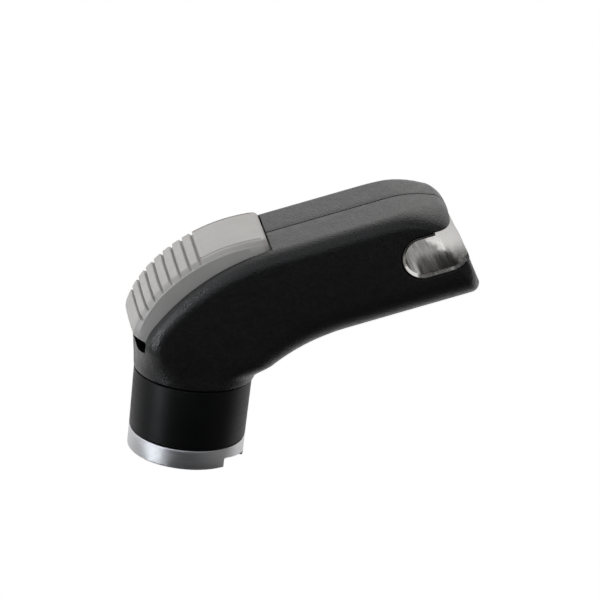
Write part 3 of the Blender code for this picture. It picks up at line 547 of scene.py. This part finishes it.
def plain_plastic(name, dark, light, roughness):
    """Moulded plastic of the small inner pieces."""
    made = Finish(name, light, roughness)
    made.tint(made.noise(0.4), dark, light)
    made.gloss(made.noise(0.8), roughness - 0.05, roughness + 0.06)
    made.bump(made.noise(3.0), 0.008)
    return made.material


def clear_glass():
    """Pressed glass with faint moulding waves."""
    made = Finish("clear_glass", (0.95, 0.97, 0.98), 0.04, Transmission_Weight=1.0)
    made.gloss(made.noise(0.6), 0.02, 0.07)
    made.bump(made.noise(0.8, detail=1.0), 0.01)
    return made.material


# ---------------- body outline and sections
def top_line(a):
    """h of the top, which rounds down at the nose."""
    past = max(a - DROOP_A, 0.0)
    return ARM_TOP - DROOP_R + math.sqrt(DROOP_R ** 2 - past ** 2)


def bottom_line(a):
    """h of the underside, which curves down behind its straight run."""
    past = max(UNDER_A - a, 0.0)
    return ARM_BOTTOM - UNDER_R + math.sqrt(UNDER_R ** 2 - past ** 2)


def front_top():
    """a of the leaning front face at the top line."""
    return FRONT_A + NOSE_REACH - FRONT_LEAN * (top_line(LEAN_A) - ARM_BOTTOM)


def back_outline():
    """Back and top line from the neck to the nose, as (x, z)."""
    arc = [arm(*slide_arm(t)) for t in spaced(SLIDE_END, 0.0, 160)]
    slope = SLIDE_END + ARM_TILT
    centre = (arc[0][0] + BACK_CORNER_R * math.sin(slope), arc[0][1] - BACK_CORNER_R * math.cos(slope))
    corner = arc_points(centre, BACK_CORNER_R, math.pi, math.pi / 2 + slope, 24)
    top = [arm(a, top_line(a)) for a in spaced(SLIDE_A + 1.0, BACK_END_A, 120)]
    return [(-NECK_R, OUTLINE_BASE)] + corner + arc[1:] + top


def under_outline():
    """Underside from the neck to the nose, as (x, z)."""
    curve = [arm(UNDER_A - UNDER_R * math.sin(t), ARM_BOTTOM - UNDER_R + UNDER_R * math.cos(t))
             for t in spaced(UNDER_END, 0.0, 120)]
    return [(NECK_R + UNDER_FOOT, OUTLINE_BASE)] + curve + [arm(UNDER_END_A, ARM_BOTTOM)]


def ray_hit(pivot, angle, outline):
    """Where a ray from the pivot crosses an outline."""
    run = (math.cos(angle), math.sin(angle))
    side = [run[0] * (z - pivot[1]) - run[1] * (x - pivot[0]) for x, z in outline]
    for k in range(len(outline) - 1):
        if side[k] * side[k + 1] <= 0 and side[k] != side[k + 1]:
            f = side[k] / (side[k] - side[k + 1])
            p = outline[k]
            q = outline[k + 1]
            return Vector((p[0] + (q[0] - p[0]) * f, 0, p[1] + (q[1] - p[1]) * f))
    raise ValueError("the ray misses the outline")


def edge_run(half_width, height, radius, spread=0.0):
    """(y, v) from beside the seam out to the side, along the top edge of a half section.

    The corner is an arc of the given radius, stretched inwards by the spread.
    """
    wide = min(radius + spread, half_width)
    centre = half_width - wide
    seam = SEAM_HALF + SEAM_ROUND
    turned = max(centre, seam + 1.2)

    def level(y):
        return height - radius + radius * math.sqrt(max(1.0 - (max(y - centre, 0.0) / wide) ** 2, 0.0))

    edge = level(0)
    points = [(SEAM_HALF - 0.02, edge - SEAM_ROUND), (SEAM_HALF + SEAM_ROUND * 0.3, edge - SEAM_ROUND * 0.3)]
    points += [(y, level(y)) for y in spaced(seam, turned, SEAM_POINTS)[:-1]]
    first = math.acos((turned - centre) / wide)
    points += [(centre + wide * math.cos(t), height - radius + radius * math.sin(t))
               for t in spaced(first, math.radians(2.0), CORNER_POINTS)]
    return points


def outer_section(bottom, top, half_width, radii, spread=0.0):
    """Rounded rectangle between a bottom and a top point, with a small groove at the parting plane."""
    middle = (bottom + top) / 2
    height = (top - bottom).length / 2
    up = (top - bottom).normalized()
    limit = min(half_width, height)
    under = [(y, -v) for y, v in edge_run(half_width, height, min(radii[0], limit))]
    over = edge_run(half_width, height, min(radii[1], limit), spread)
    right = under + over[::-1]
    left = [(-y, v) for y, v in right[::-1]]
    return [middle + up * v + Vector((0, y, 0)) for y, v in right + left]


def near_front(a):
    """Rises from 0 where the nose begins to 1 at the front."""
    return min(max((a - NOSE_A) / (FRONT_A - NOSE_A), 0.0), 1.0) ** 2


def nose_corner(a):
    """Radius of the arm's top corners and their spread, which both grow towards the front."""
    grow = near_front(a)
    return TOP_RADIUS + (NOSE_RADIUS - TOP_RADIUS) * grow, NOSE_SPREAD * grow


def crowned(ring, a):
    """Bulge a ring of the arm forwards in its middle, more the nearer it is to the front and the top."""
    spots = []
    for p in ring:
        h = p.z * math.cos(ARM_TILT) - p.x * math.sin(ARM_TILT)
        bulge = FRONT_CROWN + NOSE_CROWN * ((h - ARM_BOTTOM) / (ARM_TOP - ARM_BOTTOM)) ** 3
        push = bulge * near_front(a) * (1.0 - (p.y / HALF_WIDTH) ** 2)
        spots.append(p + arm_point(push, 0.0))
    return spots


def fan_station(angle):
    """(bottom, top, half width, radii) of the section through the bend at an angle."""
    grow = min((math.pi - angle) / SQUARE_OVER, 1.0)
    blend = grow * grow * (3 - 2 * grow)
    radii = [NECK_R + (radius - NECK_R) * blend for radius in ARM_RADII]
    width = NECK_R + (HALF_WIDTH - NECK_R) * blend
    return ray_hit(FAN_PIVOT, angle, under_outline()), ray_hit(FAN_PIVOT, angle, back_outline()), width, radii


def disc_ring(radius, z):
    """Round section of the spigot."""
    return outer_section(Vector((radius, 0, z)), Vector((-radius, 0, z)), radius, (radius, radius))


def base_rings():
    """Spigot, then the body's rounded lower edge."""
    rings = [disc_ring(SPIGOT_R, SPIGOT_BASE), disc_ring(SPIGOT_R, BODY_BASE)]
    bottom, top, width, radii = fan_station(math.pi)
    run = (top - bottom).normalized()
    for inset, lift in BASE_ROUND:
        rise = Vector((0, 0, lift))
        rings.append(outer_section(bottom + run * inset + rise, top - run * inset + rise, width - inset,
                                   [r - inset for r in radii]))
    return rings


def outer_body():
    """Solid outer body, before it is hollowed and parted."""
    rings = base_rings()
    for angle in spaced(FAN_FIRST, FAN_LAST, FAN_STEPS):
        rings.append(outer_section(*fan_station(angle)))
    first_a = FAN_PIVOT[0] * math.cos(ARM_TILT) + FAN_PIVOT[1] * math.sin(ARM_TILT)
    for f in spaced(1 / ARM_STATIONS, 1.0, ARM_STATIONS):
        a_low = first_a + (FRONT_A - FRONT_ROUND - first_a) * f
        a_high = first_a + (front_top() - NOSE_ROUND - first_a) * f
        low = arm_point(a_low, bottom_line(a_low))
        radius, spread = nose_corner(a_low)
        high = arm_point(a_high, top_line(a_high))
        ring = outer_section(low, high, HALF_WIDTH, (BOTTOM_RADIUS, radius), spread)
        rings.append(crowned(ring, a_low))
    for turn in spaced(math.radians(9), math.radians(90), 10):
        inset = FRONT_ROUND * (1 - math.cos(turn))
        a_low = FRONT_A - FRONT_ROUND * (1 - math.sin(turn))
        a_high = front_top() - NOSE_ROUND * (1 - math.sin(turn))
        low = arm_point(a_low, ARM_BOTTOM + inset)
        high = arm_point(a_high, top_line(a_high) - NOSE_ROUND * (1 - math.cos(turn)))
        radii = (BOTTOM_RADIUS - inset, radius - inset * 0.3)
        ring = outer_section(low, high, HALF_WIDTH - inset, radii, spread)
        rings.append(crowned(ring, FRONT_A))
    middle = (low + high) / 2
    for shrink in (0.85, 0.65, 0.4, 0.08):
        spots = [middle + (p - middle) * shrink for p in ring]
        rings.append(crowned(spots, FRONT_A))
    return loft(rings)


def section(bottom, top, half_width, radii):
    """Whole rounded section, used for the cavity."""
    middle = (bottom + top) / 2
    height = (top - bottom).length / 2
    up = (top - bottom).normalized()
    inset = math.radians(5.0)
    ring = []
    for quarter, (side, lift) in enumerate(((1, 1), (-1, 1), (-1, -1), (1, -1))):
        radius = min(radii[1] if lift > 0 else radii[0], half_width, height)
        start = quarter * math.pi / 2
        for turn in spaced(start + inset, start + math.pi / 2 - inset, CAVITY_POINTS):
            y = side * (half_width - radius) + radius * math.cos(turn)
            v = lift * (height - radius) + radius * math.sin(turn)
            ring.append(middle + up * v + Vector((0, y, 0)))
    return ring


def cavity():
    """The hollow inside the two shells, open downwards through the spigot."""
    inner = SPIGOT_R - SPIGOT_WALL
    rings = [section(Vector((inner, 0, z)), Vector((-inner, 0, z)), inner, (inner, inner))
             for z in (SPIGOT_BASE - 1.0, BODY_BASE + 1.2)]
    for angle in spaced(CAVITY_FIRST, FAN_LAST, 12):
        bottom, top, width, radii = fan_station(angle)
        run = (top - bottom).normalized()
        inside = [max(r - WALL, 1.5) for r in radii]
        rings.append(section(bottom + run * WALL, top - run * TOP_WALL, width - WALL, inside))
    for a in (CAVITY_ARM, CAVITY_END):
        low = arm_point(a, ARM_BOTTOM + WALL)
        high = arm_point(a, ARM_TOP - TOP_WALL)
        rings.append(section(low, high, HALF_WIDTH - WALL, [r - WALL + 1.0 for r in ARM_RADII]))
    return loft(rings)


# ---------------- notch and its liner
def lip_rise(a):
    """How much higher the notch's floor is at its lip."""
    f = max(a - LIP_A, 0.0) / (LIP_END - LIP_A)
    return LIP_RISE * f * f


def notch_outline(inset):
    """Side notch: open at the front, round at the back, its floor rising to a lip at the front."""
    r = NOTCH_HALF - inset
    round_end = arc_points((NOTCH_A, NOTCH_H), r, math.pi * 1.5, math.pi * 0.5, 41)
    floor = [(a, NOTCH_H - r + lip_rise(a)) for a in spaced(LIP_END, LIP_A, 13)]
    roof_h = NOTCH_H + r
    roof = [(ROOF_A + ROOF_ROUND * math.sin(t), roof_h + ROOF_ROUND * (1 - math.cos(t)))
            for t in spaced(0.0, 1.5, 9)]
    lip_h = NOTCH_H - r + LIP_RISE
    mouth = [(MOUTH_A, roof_h + ROOF_ROUND), (MOUTH_A, lip_h), (LIP_END + 0.4, lip_h)]
    return roof + mouth + floor + round_end


def flared(outline_at, half, radius):
    """Cutter along Y whose outline widens through a fillet at each side face."""
    reach = [(-half - 6.0, radius)]
    turns = spaced(math.pi / 2, 0.0, 6)
    reach += [(-(half - radius + radius * math.sin(t)), radius * (1 - math.cos(t))) for t in turns]
    reach += [(-y, grow) for y, grow in reach[::-1]]
    return loft([[arm_point(a, h, y) for a, h in outline_at(-grow)] for y, grow in reach])


def liner_face(inset):
    """Open outline of one face of the strip, from its upper end round to the lip."""
    r = NOTCH_HALF - inset
    roof = [(STRIP_END_A, NOTCH_H + r)]
    round_end = arc_points((NOTCH_A, NOTCH_H), r, math.pi * 0.5, math.pi * 1.5, 61)
    floor = [(a, NOTCH_H - r + lip_rise(a)) for a in spaced(LIP_A, LIP_END - 0.1, 15)]
    return roof + round_end + floor


def make_liner():
    """Bent strip whose long edges flare outwards in a narrow rim."""
    half = HALF_WIDTH - STRIP_INSET
    rings = [(-half, RIM), (-half + 0.05, RIM + 0.02), (-half + 0.12, RIM), (-half + RIM + 0.07, 0.04),
             (-half + RIM + 0.2, 0.0)]
    rings += [(-y, sink) for y, sink in rings[::-1]]
    skins = []
    for y, sink in rings:
        outline = liner_face(GAP) + liner_face(GAP + LINER_T - sink)[::-1]
        skins.append([arm_point(a, h, y) for a, h in outline])
    liner = new_object("notch_liner", loft(skins))
    start, end = [arm_point(a, NOTCH_H) for a in LAMP_HOLE_ENDS]
    cut(liner, rod(LAMP_HOLE_R, start, end, 48))
    finish_piece(liner, "head", ["reflector_liner"], liner_metal())


# ---------------- shells
def band(angles, corners):
    """Solid along the slider's arc with a constant (y, radius) section."""
    return loft([[slide_point(t, r, y) for y, r in corners] for t in angles])


def to_mm(obj):
    """A tool mesh in millimetres from an object, which is removed."""
    bm = bmesh.new()
    bm.from_mesh(obj.data)
    bmesh.ops.transform(bm, verts=bm.verts, matrix=Matrix.Scale(1 / MM, 4))
    bpy.data.objects.remove(obj)
    return bm


def hollow_tool():
    """The cavity less the screw and pin bosses that stand in it."""
    hollow = new_object("hollow", cavity())
    for a, h in HOUSING_SCREWS:
        cut(hollow, rod(SCREW_BOSS_R, arm_point(a, h, -OUTSIDE), arm_point(a, h, OUTSIDE), 28))
    for side in (-1, 1):
        start, end = [arm_point(*ROCKER_PIN_AT, y) for y in sorted((side * PIN_BOSS_END, side * OUTSIDE))]
        cut(hollow, rod(PIN_BOSS_R, start, end, 28))
    return to_mm(hollow)


def recess_tool():
    """The slider's bed, whose long edges are rounded on the shells."""
    wide = SLIDER_HALF + GAP
    corners = [(wide, SLIDE_R - RECESS_DEPTH), (wide, SLIDE_R - 0.3), (wide + 0.09, SLIDE_R - 0.09),
               (wide + 0.3, SLIDE_R), (wide + 0.3, SLIDE_R + 9.0)]
    corners += [(-y, r) for y, r in corners[::-1]]
    bed_end = SLIDER_TAIL + SLIDER_TRAVEL + BED_TAIL
    return band(spaced(SLIDER_FRONT - BED_FRONT, bed_end, 64), corners)


def tail_opening():
    """U-shaped opening into which the slider's tail dips, with a softened outer edge."""
    start = SLIDER_TAIL + TAIL_START
    end = SLIDER_TAIL + SLIDER_TRAVEL + TAIL_ROOM
    low, high = SLIDE_R - 6.0, SLIDE_R + 3.0
    rings = []
    for f in spaced(0.0, math.pi / 2, 25):
        half = TAIL_HALF * (1.0 - (math.sin(f) * TAIL_SQUARE) ** 3) ** (1 / 3)
        angle = start + (end - start) * math.sin(f)
        corners = ((-half, low), (half, low), (half, high), (-half, high))
        rings.append([slide_point(angle, r, y) for y, r in corners])
    return loft(rings)


def make_shells(finish):
    """Hollow and open the body, then part it into its two shells."""
    body = new_object("body", outer_body())
    cut(body, hollow_tool())
    cut(body, recess_tool())
    cut(body, tail_opening())
    slot = rectangle(-SLOT_HALF, SLOT_HALF, SLIDE_R - 8.0, SLIDE_R + 2.0)
    cut(body, band(spaced(*SLOT_ENDS, 12), slot))
    cut(body, flared(notch_outline, HALF_WIDTH, EDGE_ROUND))
    around = GUIDE_WALL + GAP
    guide = rectangle(CAVITY_END - 1.0, GUIDE_END, BLADE_H[0] - around, BLADE_H[1] + around)
    cut(body, arm_prism(guide, -BLADE_HALF - around, BLADE_HALF + around))
    start, end = [arm_point(a, NOTCH_H) for a in LAMP_BORE_ENDS]
    cut(body, rod(LAMP_BORE_R, start, end, 40))
    for a, h in HOUSING_SCREWS:
        cut(body, rod(SCREW_BORE_R, arm_point(a, h, SCREW_BORE_Y), arm_point(a, h, OUTSIDE), 24))
        cut(body, lathe(SCREW_WELL, 48, along((0, 1, 0), arm_point(a, h, SCREW_HEAD_Y - GAP))))
    start, end = [arm_point(*ROCKER_PIN_AT, y) for y in (-PIN_BORE_HALF, PIN_BORE_HALF)]
    cut(body, rod(PIN_BORE_R, start, end, 24))
    for name, node, side in (("shell_left", "housing_left", -1), ("shell_right", "housing_right", 1)):
        shell = bpy.data.objects.new(name, body.data.copy())
        bpy.context.scene.collection.objects.link(shell)
        ends = sorted((side * SEAM_HALF, side * 30.0))
        cut(shell, arm_prism(rectangle(-60.0, 130.0, -40.0, 130.0), *ends), "INTERSECT")
        finish_piece(shell, "head", [node], finish)
    bpy.data.objects.remove(body)


def make_screws(finish):
    """Pan heads with a cross recess, driven from the far side."""
    for number, (a, h) in enumerate(HOUSING_SCREWS, 1):
        length = SCREW_HEAD_Y - SCREW_TIP_Y
        profile = [*SCREW_TIP, (SCREW_R, length)] + [(r, length + t) for r, t in SCREW_HEAD]
        axis = along((0, 1, 0), arm_point(a, h, SCREW_TIP_Y))
        screw = new_object("screw_%d" % number, lathe(profile, 48, axis))
        top = SCREW_HEAD_Y + CROSS_TOP
        for half_a, half_h in (CROSS_HALVES, CROSS_HALVES[::-1]):
            cross = rectangle(a - half_a, a + half_a, h - half_h, h + half_h)
            cut(screw, arm_prism(cross, top - CROSS_DEPTH, top + 1.0))
        finish_piece(screw, "head", ["housing_screw_%d" % number], finish)


# ---------------- slider
def slider_height(angle):
    """Height of the slider's top above the arc it slides on."""
    knots = [(-4.0, 1.3), (0.0, 2.1), (6.0, 3.1), (12.0, 3.9), (18.0, 4.4), (25.0, 4.7), (31.0, 4.6),
             (36.0, 4.1), (40.0, 3.3), (44.0, 2.2), (48.0, 1.1)]
    degrees = math.degrees(angle)
    for p0, p1, p2, p3 in zip(knots, knots[1:], knots[2:], knots[3:]):
        if degrees <= p2[0]:
            t = (degrees - p1[0]) / (p2[0] - p1[0])
            slope_1 = (p2[1] - p0[1]) / (p2[0] - p0[0]) * (p2[0] - p1[0])
            slope_2 = (p3[1] - p1[1]) / (p3[0] - p1[0]) * (p2[0] - p1[0])
            return (p1[1] * (1 + 2 * t) * (1 - t) ** 2 + slope_1 * t * (1 - t) ** 2
                    + p2[1] * t * t * (3 - 2 * t) + slope_2 * t * t * (t - 1))
    return knots[-2][1]


def slider_stations():
    """(angle, groove depth) along the slider: a smooth pad, then ribs between grooves."""
    stations = [(t, 0.0) for t in spaced(SLIDER_FRONT + math.radians(1.7), PAD_END - math.radians(0.1), 18)]
    for k in range(GROOVES):
        start = PAD_END + GROOVE_PITCH * k
        stations += [(start + GROOVE_PITCH * part, GROOVE_DEPTH * depth) for part, depth in GROOVE_PROFILE]
    return stations


def slider_ring(angle, drop, side_in=0.0, crease=0.0):
    """Cross-section of the slider; grooves lower its top but not its flanks, and a crease edges the pad."""
    full = SLIDE_R + slider_height(angle)
    top = full - drop
    base = SLIDE_R - RECESS_DEPTH + GAP
    flank = min(full - FLANK_DROP, top - 0.12)
    edge = SLIDER_HALF - FLANK_LEAN
    right = [(SLIDER_HALF, base), (SLIDER_HALF, base + 0.4), (SLIDER_HALF - 0.15, (base + flank) / 2),
             (SLIDER_HALF - 0.62, flank - 0.1), (edge, flank)]
    for f in (0.25, 0.5, 0.75, 1.0):
        bulge = math.sin(f * math.pi / 2)
        right.append((edge - TOP_EDGE * f, flank + (top - flank) * bulge))
    outer, inner, pad = [SLIDER_HALF - inset for inset in CREASE_INSETS]
    right += [(outer, top - crease), (inner, top - crease), (pad, top + 0.02)]
    right += [(y, top + TOP_CROWN * (1 - (y / (edge - TOP_EDGE)) ** 2)) for y in (7.2, 5.4, 3.6, 1.8)]
    right = [(y - side_in * y / SLIDER_HALF, r) for y, r in right]
    ring = right + [(0.0, top + TOP_CROWN)] + [(-y, r) for y, r in right[::-1]]
    return [slide_point(angle, r, y) for y, r in ring]


def rounded_end(end, inward, corner, drop):
    """Rings that round one end of the slider in plan and along its top edge, starting at the end."""
    rings = []
    for f in (0.0, 0.04, 0.1, 0.2, 0.33, 0.5, 0.75):
        left = 1.0 - f
        side_in = corner * (1.0 - math.sqrt(1.0 - left * left))
        lowered = drop * (1.0 - math.sqrt(1.0 - left ** 4))
        rings.append(slider_ring(end + inward * f * corner / SLIDE_R, lowered, side_in))
    return rings


def make_slider():
    """The slider from its rounded front over pad and ribs to its rounded tail."""
    front = rounded_end(SLIDER_FRONT, 1.0, *FRONT_ROUNDING)
    middle = [slider_ring(t, drop, crease=CREASE if t < PAD_END else 0.0) for t, drop in slider_stations()]
    tail = rounded_end(SLIDER_TAIL, -1.0, *TAIL_ROUNDING)
    slider = new_object("thumb_slider_top", loft(front + middle + tail[::-1]))
    for angle in SLIDER_SCREWS:
        start, end = [slide_point(angle, SLIDE_R + r) for r in (-3.0, 1.4)]
        cut(slider, rod(SLIDER_SCREW_R, start, end, 20))
    finish_piece(slider, "slider", ["thumb_slider"], slider_plastic(), 40.0)


# ---------------- neck
def make_neck():
    """The smooth sleeve and the metal ring under it."""
    base = RING_TOP + GAP
    collar = [(COLLAR_BORE_R, base), (RING_R, base), (NECK_R - 0.1, COLLAR_TOP - 0.35),
              (NECK_R - 0.12, COLLAR_TOP), (COLLAR_BORE_R, COLLAR_TOP)]
    made = new_object("collar_sleeve", lathe(rounded(collar, 0.25, 5), 160))
    finish_piece(made, "head", ["neck_collar"], collar_plastic())

    ring = rectangle(RING_BORE_R, RING_R, 0, RING_TOP)
    made = new_object("locking_ring", lathe(rounded(ring, 0.3, 5), 160))
    for middle in RECESS_MIDDLES:
        cut(made, ring_recess(middle))
    finish_piece(made, "head", ["base_ring"], ring_metal())


def ring_recess(middle):
    """Wedge that cuts a sloping recess for a guide pin into the ring's lower edge."""
    rings = []
    for turn in spaced(middle - RECESS_HALF, middle + RECESS_HALF, 17):
        depth = PIN_RECESS_DEPTH - PIN_RECESS_SLOPE * (turn - middle + RECESS_HALF) / (2 * RECESS_HALF)
        corners = rectangle(SOCKET_R, RING_R + 2.0, -1.0, depth)
        rings.append([Vector((radius * math.cos(turn), radius * math.sin(turn), z)) for radius, z in corners])
    return loft(rings)


def make_socket(steel, brass, natural):
    """What shows when the head is looked at from below."""
    sleeve = rectangle(SOCKET_R, SOCKET_R + SOCKET_WALL, *SOCKET_ENDS)
    made = new_object("socket_wall", lathe(rounded(sleeve, 0.25), 120))
    finish_piece(made, "head", ["socket_sleeve"], steel)

    under, well, top = DISC_LEVELS
    disc = rectangle(DISC_HOLE_R, SOCKET_R - GAP, under, top)[:3]
    disc += [(DISC_WELL_R, top), (DISC_WELL_R, well), (DISC_HOLE_R, well)]
    made = new_object("contact_disc", lathe(rounded(disc, 0.2), 96))
    finish_piece(made, "head", ["insulator"], natural)

    made = new_object("contact_plunger", lathe(PLUNGER, 64))
    finish_piece(made, "contact", ["contact_pin"], brass)


# ---------------- stage, light and camera
def make_floor():
    """Pale floor that runs up into a wall all round, well below and far from the object."""
    inner, outer = FLOOR_RADII
    profile = [(inner, 0.0)]
    profile += [(outer + COVE_R * math.sin(t), COVE_R * (1.0 - math.cos(t)))
                for t in spaced(0.0, math.pi / 2, 12)]
    profile += [(outer + COVE_R, WALL_TOP)]
    bm = bmesh.new()
    columns = []
    for turn in spaced(0.0, 2 * math.pi, 65)[:-1]:
        spots = [(r * math.cos(turn), r * math.sin(turn), z + FLOOR_Z) for r, z in profile]
        columns.append([bm.verts.new(spot) for spot in spots])
    for here, there in zip(columns, columns[1:] + columns[:1]):
        for i in range(len(here) - 1):
            bm.faces.new((here[i], there[i], there[i + 1], here[i + 1]))
    bm.faces.new([column[0] for column in columns])
    mesh = bpy.data.meshes.new("floor")
    bm.to_mesh(mesh)
    bm.free()
    mesh.shade_smooth()
    floor = bpy.data.objects.new("floor", mesh)
    bpy.context.scene.collection.objects.link(floor)
    paint = bpy.data.materials.new("pale_floor")
    paint.use_nodes = True
    shader = paint.node_tree.nodes["Principled BSDF"]
    shader.inputs["Base Color"].default_value = (0.9, 0.9, 0.9, 1.0)
    shader.inputs["Roughness"].default_value = 0.9
    shader.inputs["Emission Color"].default_value = (1.0, 1.0, 1.0, 1.0)
    shader.inputs["Emission Strength"].default_value = 1.0
    mesh.materials.append(paint)
    floor.visible_glossy = False
    floor.visible_diffuse = False


def make_camera():
    """Long lens turned to the target, by its angles and roll."""
    azimuth = math.radians(CAMERA["azimuth"])
    elevation = math.radians(CAMERA["elevation"])
    roll = math.radians(CAMERA["roll"])
    level = math.cos(elevation)
    back = Vector((math.sin(azimuth) * level, -math.cos(azimuth) * level, math.sin(elevation)))
    right = Vector((math.cos(azimuth), math.sin(azimuth), 0))
    up = back.cross(right)
    x_axis = right * math.cos(roll) + up * math.sin(roll)
    y_axis = up * math.cos(roll) - right * math.sin(roll)
    turn = Matrix((x_axis, y_axis, back)).transposed().to_4x4()
    data = bpy.data.cameras.new("camera")
    data.sensor_width = 36.0
    data.lens = CAMERA["lens"]
    data.clip_start = 0.01
    data.clip_end = 50.0
    camera = bpy.data.objects.new("camera", data)
    camera.matrix_world = Matrix.Translation(TARGET + back * CAMERA["distance"]) @ turn
    bpy.context.scene.collection.objects.link(camera)
    bpy.context.scene.camera = camera


def softbox(name, place, aim, size, power, colour=(1.0, 1.0, 1.0)):
    """Rectangular light turned to a point."""
    light = bpy.data.lights.new(name, "AREA")
    light.shape = "RECTANGLE"
    light.size = size[0]
    light.size_y = size[1]
    light.energy = power
    light.color = colour
    lamp = bpy.data.objects.new(name, light)
    lamp.location = place
    lamp.rotation_euler = (Vector(aim) - Vector(place)).to_track_quat("-Z", "Y").to_euler()
    bpy.context.scene.collection.objects.link(lamp)


def make_world():
    """Studio surroundings: white behind, softer above, dim in front and below."""
    world = bpy.data.worlds.new("studio")
    bpy.context.scene.world = world
    world.use_nodes = True
    nodes = world.node_tree.nodes
    links = world.node_tree.links
    coordinates = nodes.new("ShaderNodeTexCoord")
    levels = []
    for direction, start, end, level in SURROUNDINGS:
        lean = nodes.new("ShaderNodeVectorMath")
        lean.operation = "DOT_PRODUCT"
        lean.inputs[1].default_value = direction
        reach = nodes.new("ShaderNodeMapRange")
        reach.interpolation_type = "SMOOTHSTEP"
        reach.inputs["From Min"].default_value = start
        reach.inputs["From Max"].default_value = end
        reach.inputs["To Min"].default_value = DARKEST
        reach.inputs["To Max"].default_value = level
        links.new(coordinates.outputs["Generated"], lean.inputs[0])
        links.new(lean.outputs["Value"], reach.inputs["Value"])
        levels.append(reach.outputs["Result"])
    brighter = nodes.new("ShaderNodeMath")
    brighter.operation = "MAXIMUM"
    links.new(levels[0], brighter.inputs[0])
    links.new(levels[1], brighter.inputs[1])
    links.new(brighter.outputs["Value"], nodes["Background"].inputs["Color"])
    nodes["Background"].inputs["Strength"].default_value = 1.0


def make_light():
    """The lights, each with its place, aim, size, power and colour."""
    softbox("left_strip", (-0.62, -0.22, -0.05), LOW_AIM, (0.08, 0.8), 3.2, COOL)
    softbox("front_left", (-0.5, -0.55, 0.45), TARGET, (1.0, 1.0), 1.2, COOL)
    softbox("front", (0.1, -0.75, 0.4), TARGET, (0.8, 0.4), 0.35, (0.92, 0.96, 1.0))
    softbox("key_above", (0.15, 0.45, 0.6), TARGET, (0.6, 0.6), 0.9, (1.0, 0.985, 0.96))
    softbox("right_wall", (0.65, 0.16, -0.12), LOW_AIM, (0.3, 0.6), 0.5)
    softbox("right_table", (0.5, -0.46, -0.16), (0.0, 0.0, 0.0), (0.34, 0.34), 0.12)
    make_world()
    bpy.context.scene.view_settings.view_transform = "Standard"


# ---------------- the whole object
def paint_cad_nodes(finishes):
    """CAD nodes that stay get the finish of their slot."""
    slots = {entry["node"]: entry["material_slot"] for entry in frame["record"]["subparts"]}
    for name, node in frame["nodes"].items():
        node.data.materials.clear()
        node.data.materials.append(finishes[slots[name]])


def main():
    """Make the finishes and every piece, then the studio."""
    shell = shell_plastic()
    steel = plain_metal("plain_steel", (0.42, 0.42, 0.43), (0.56, 0.56, 0.57), 0.32)
    brass = plain_metal("plain_brass", (0.62, 0.44, 0.16), (0.78, 0.58, 0.25), 0.3)
    natural = plain_plastic("natural_plastic", (0.68, 0.665, 0.62), (0.76, 0.75, 0.71), 0.45)
    dark = plain_plastic("inner_black_plastic", (0.015, 0.015, 0.015), (0.024, 0.024, 0.024), 0.45)
    turned = plain_metal("turned_aluminium", (0.6, 0.6, 0.61), (0.74, 0.74, 0.75), 0.3)
    finishes = {"body_black": shell, "collar_black": shell, "slider_grey": natural, "ring_aluminium": turned,
                "lamp_aluminium": turned, "polished_metal": turned, "steel": steel, "brass": brass,
                "white_plastic": natural, "black_plastic": dark, "clear_glass": clear_glass()}
    paint_cad_nodes(finishes)
    make_shells(shell)
    make_screws(steel)
    make_slider()
    make_liner()
    make_neck()
    make_socket(steel, brass, natural)
    make_floor()
    make_camera()
    make_light()


main()
bpy.context.view_layer.update()
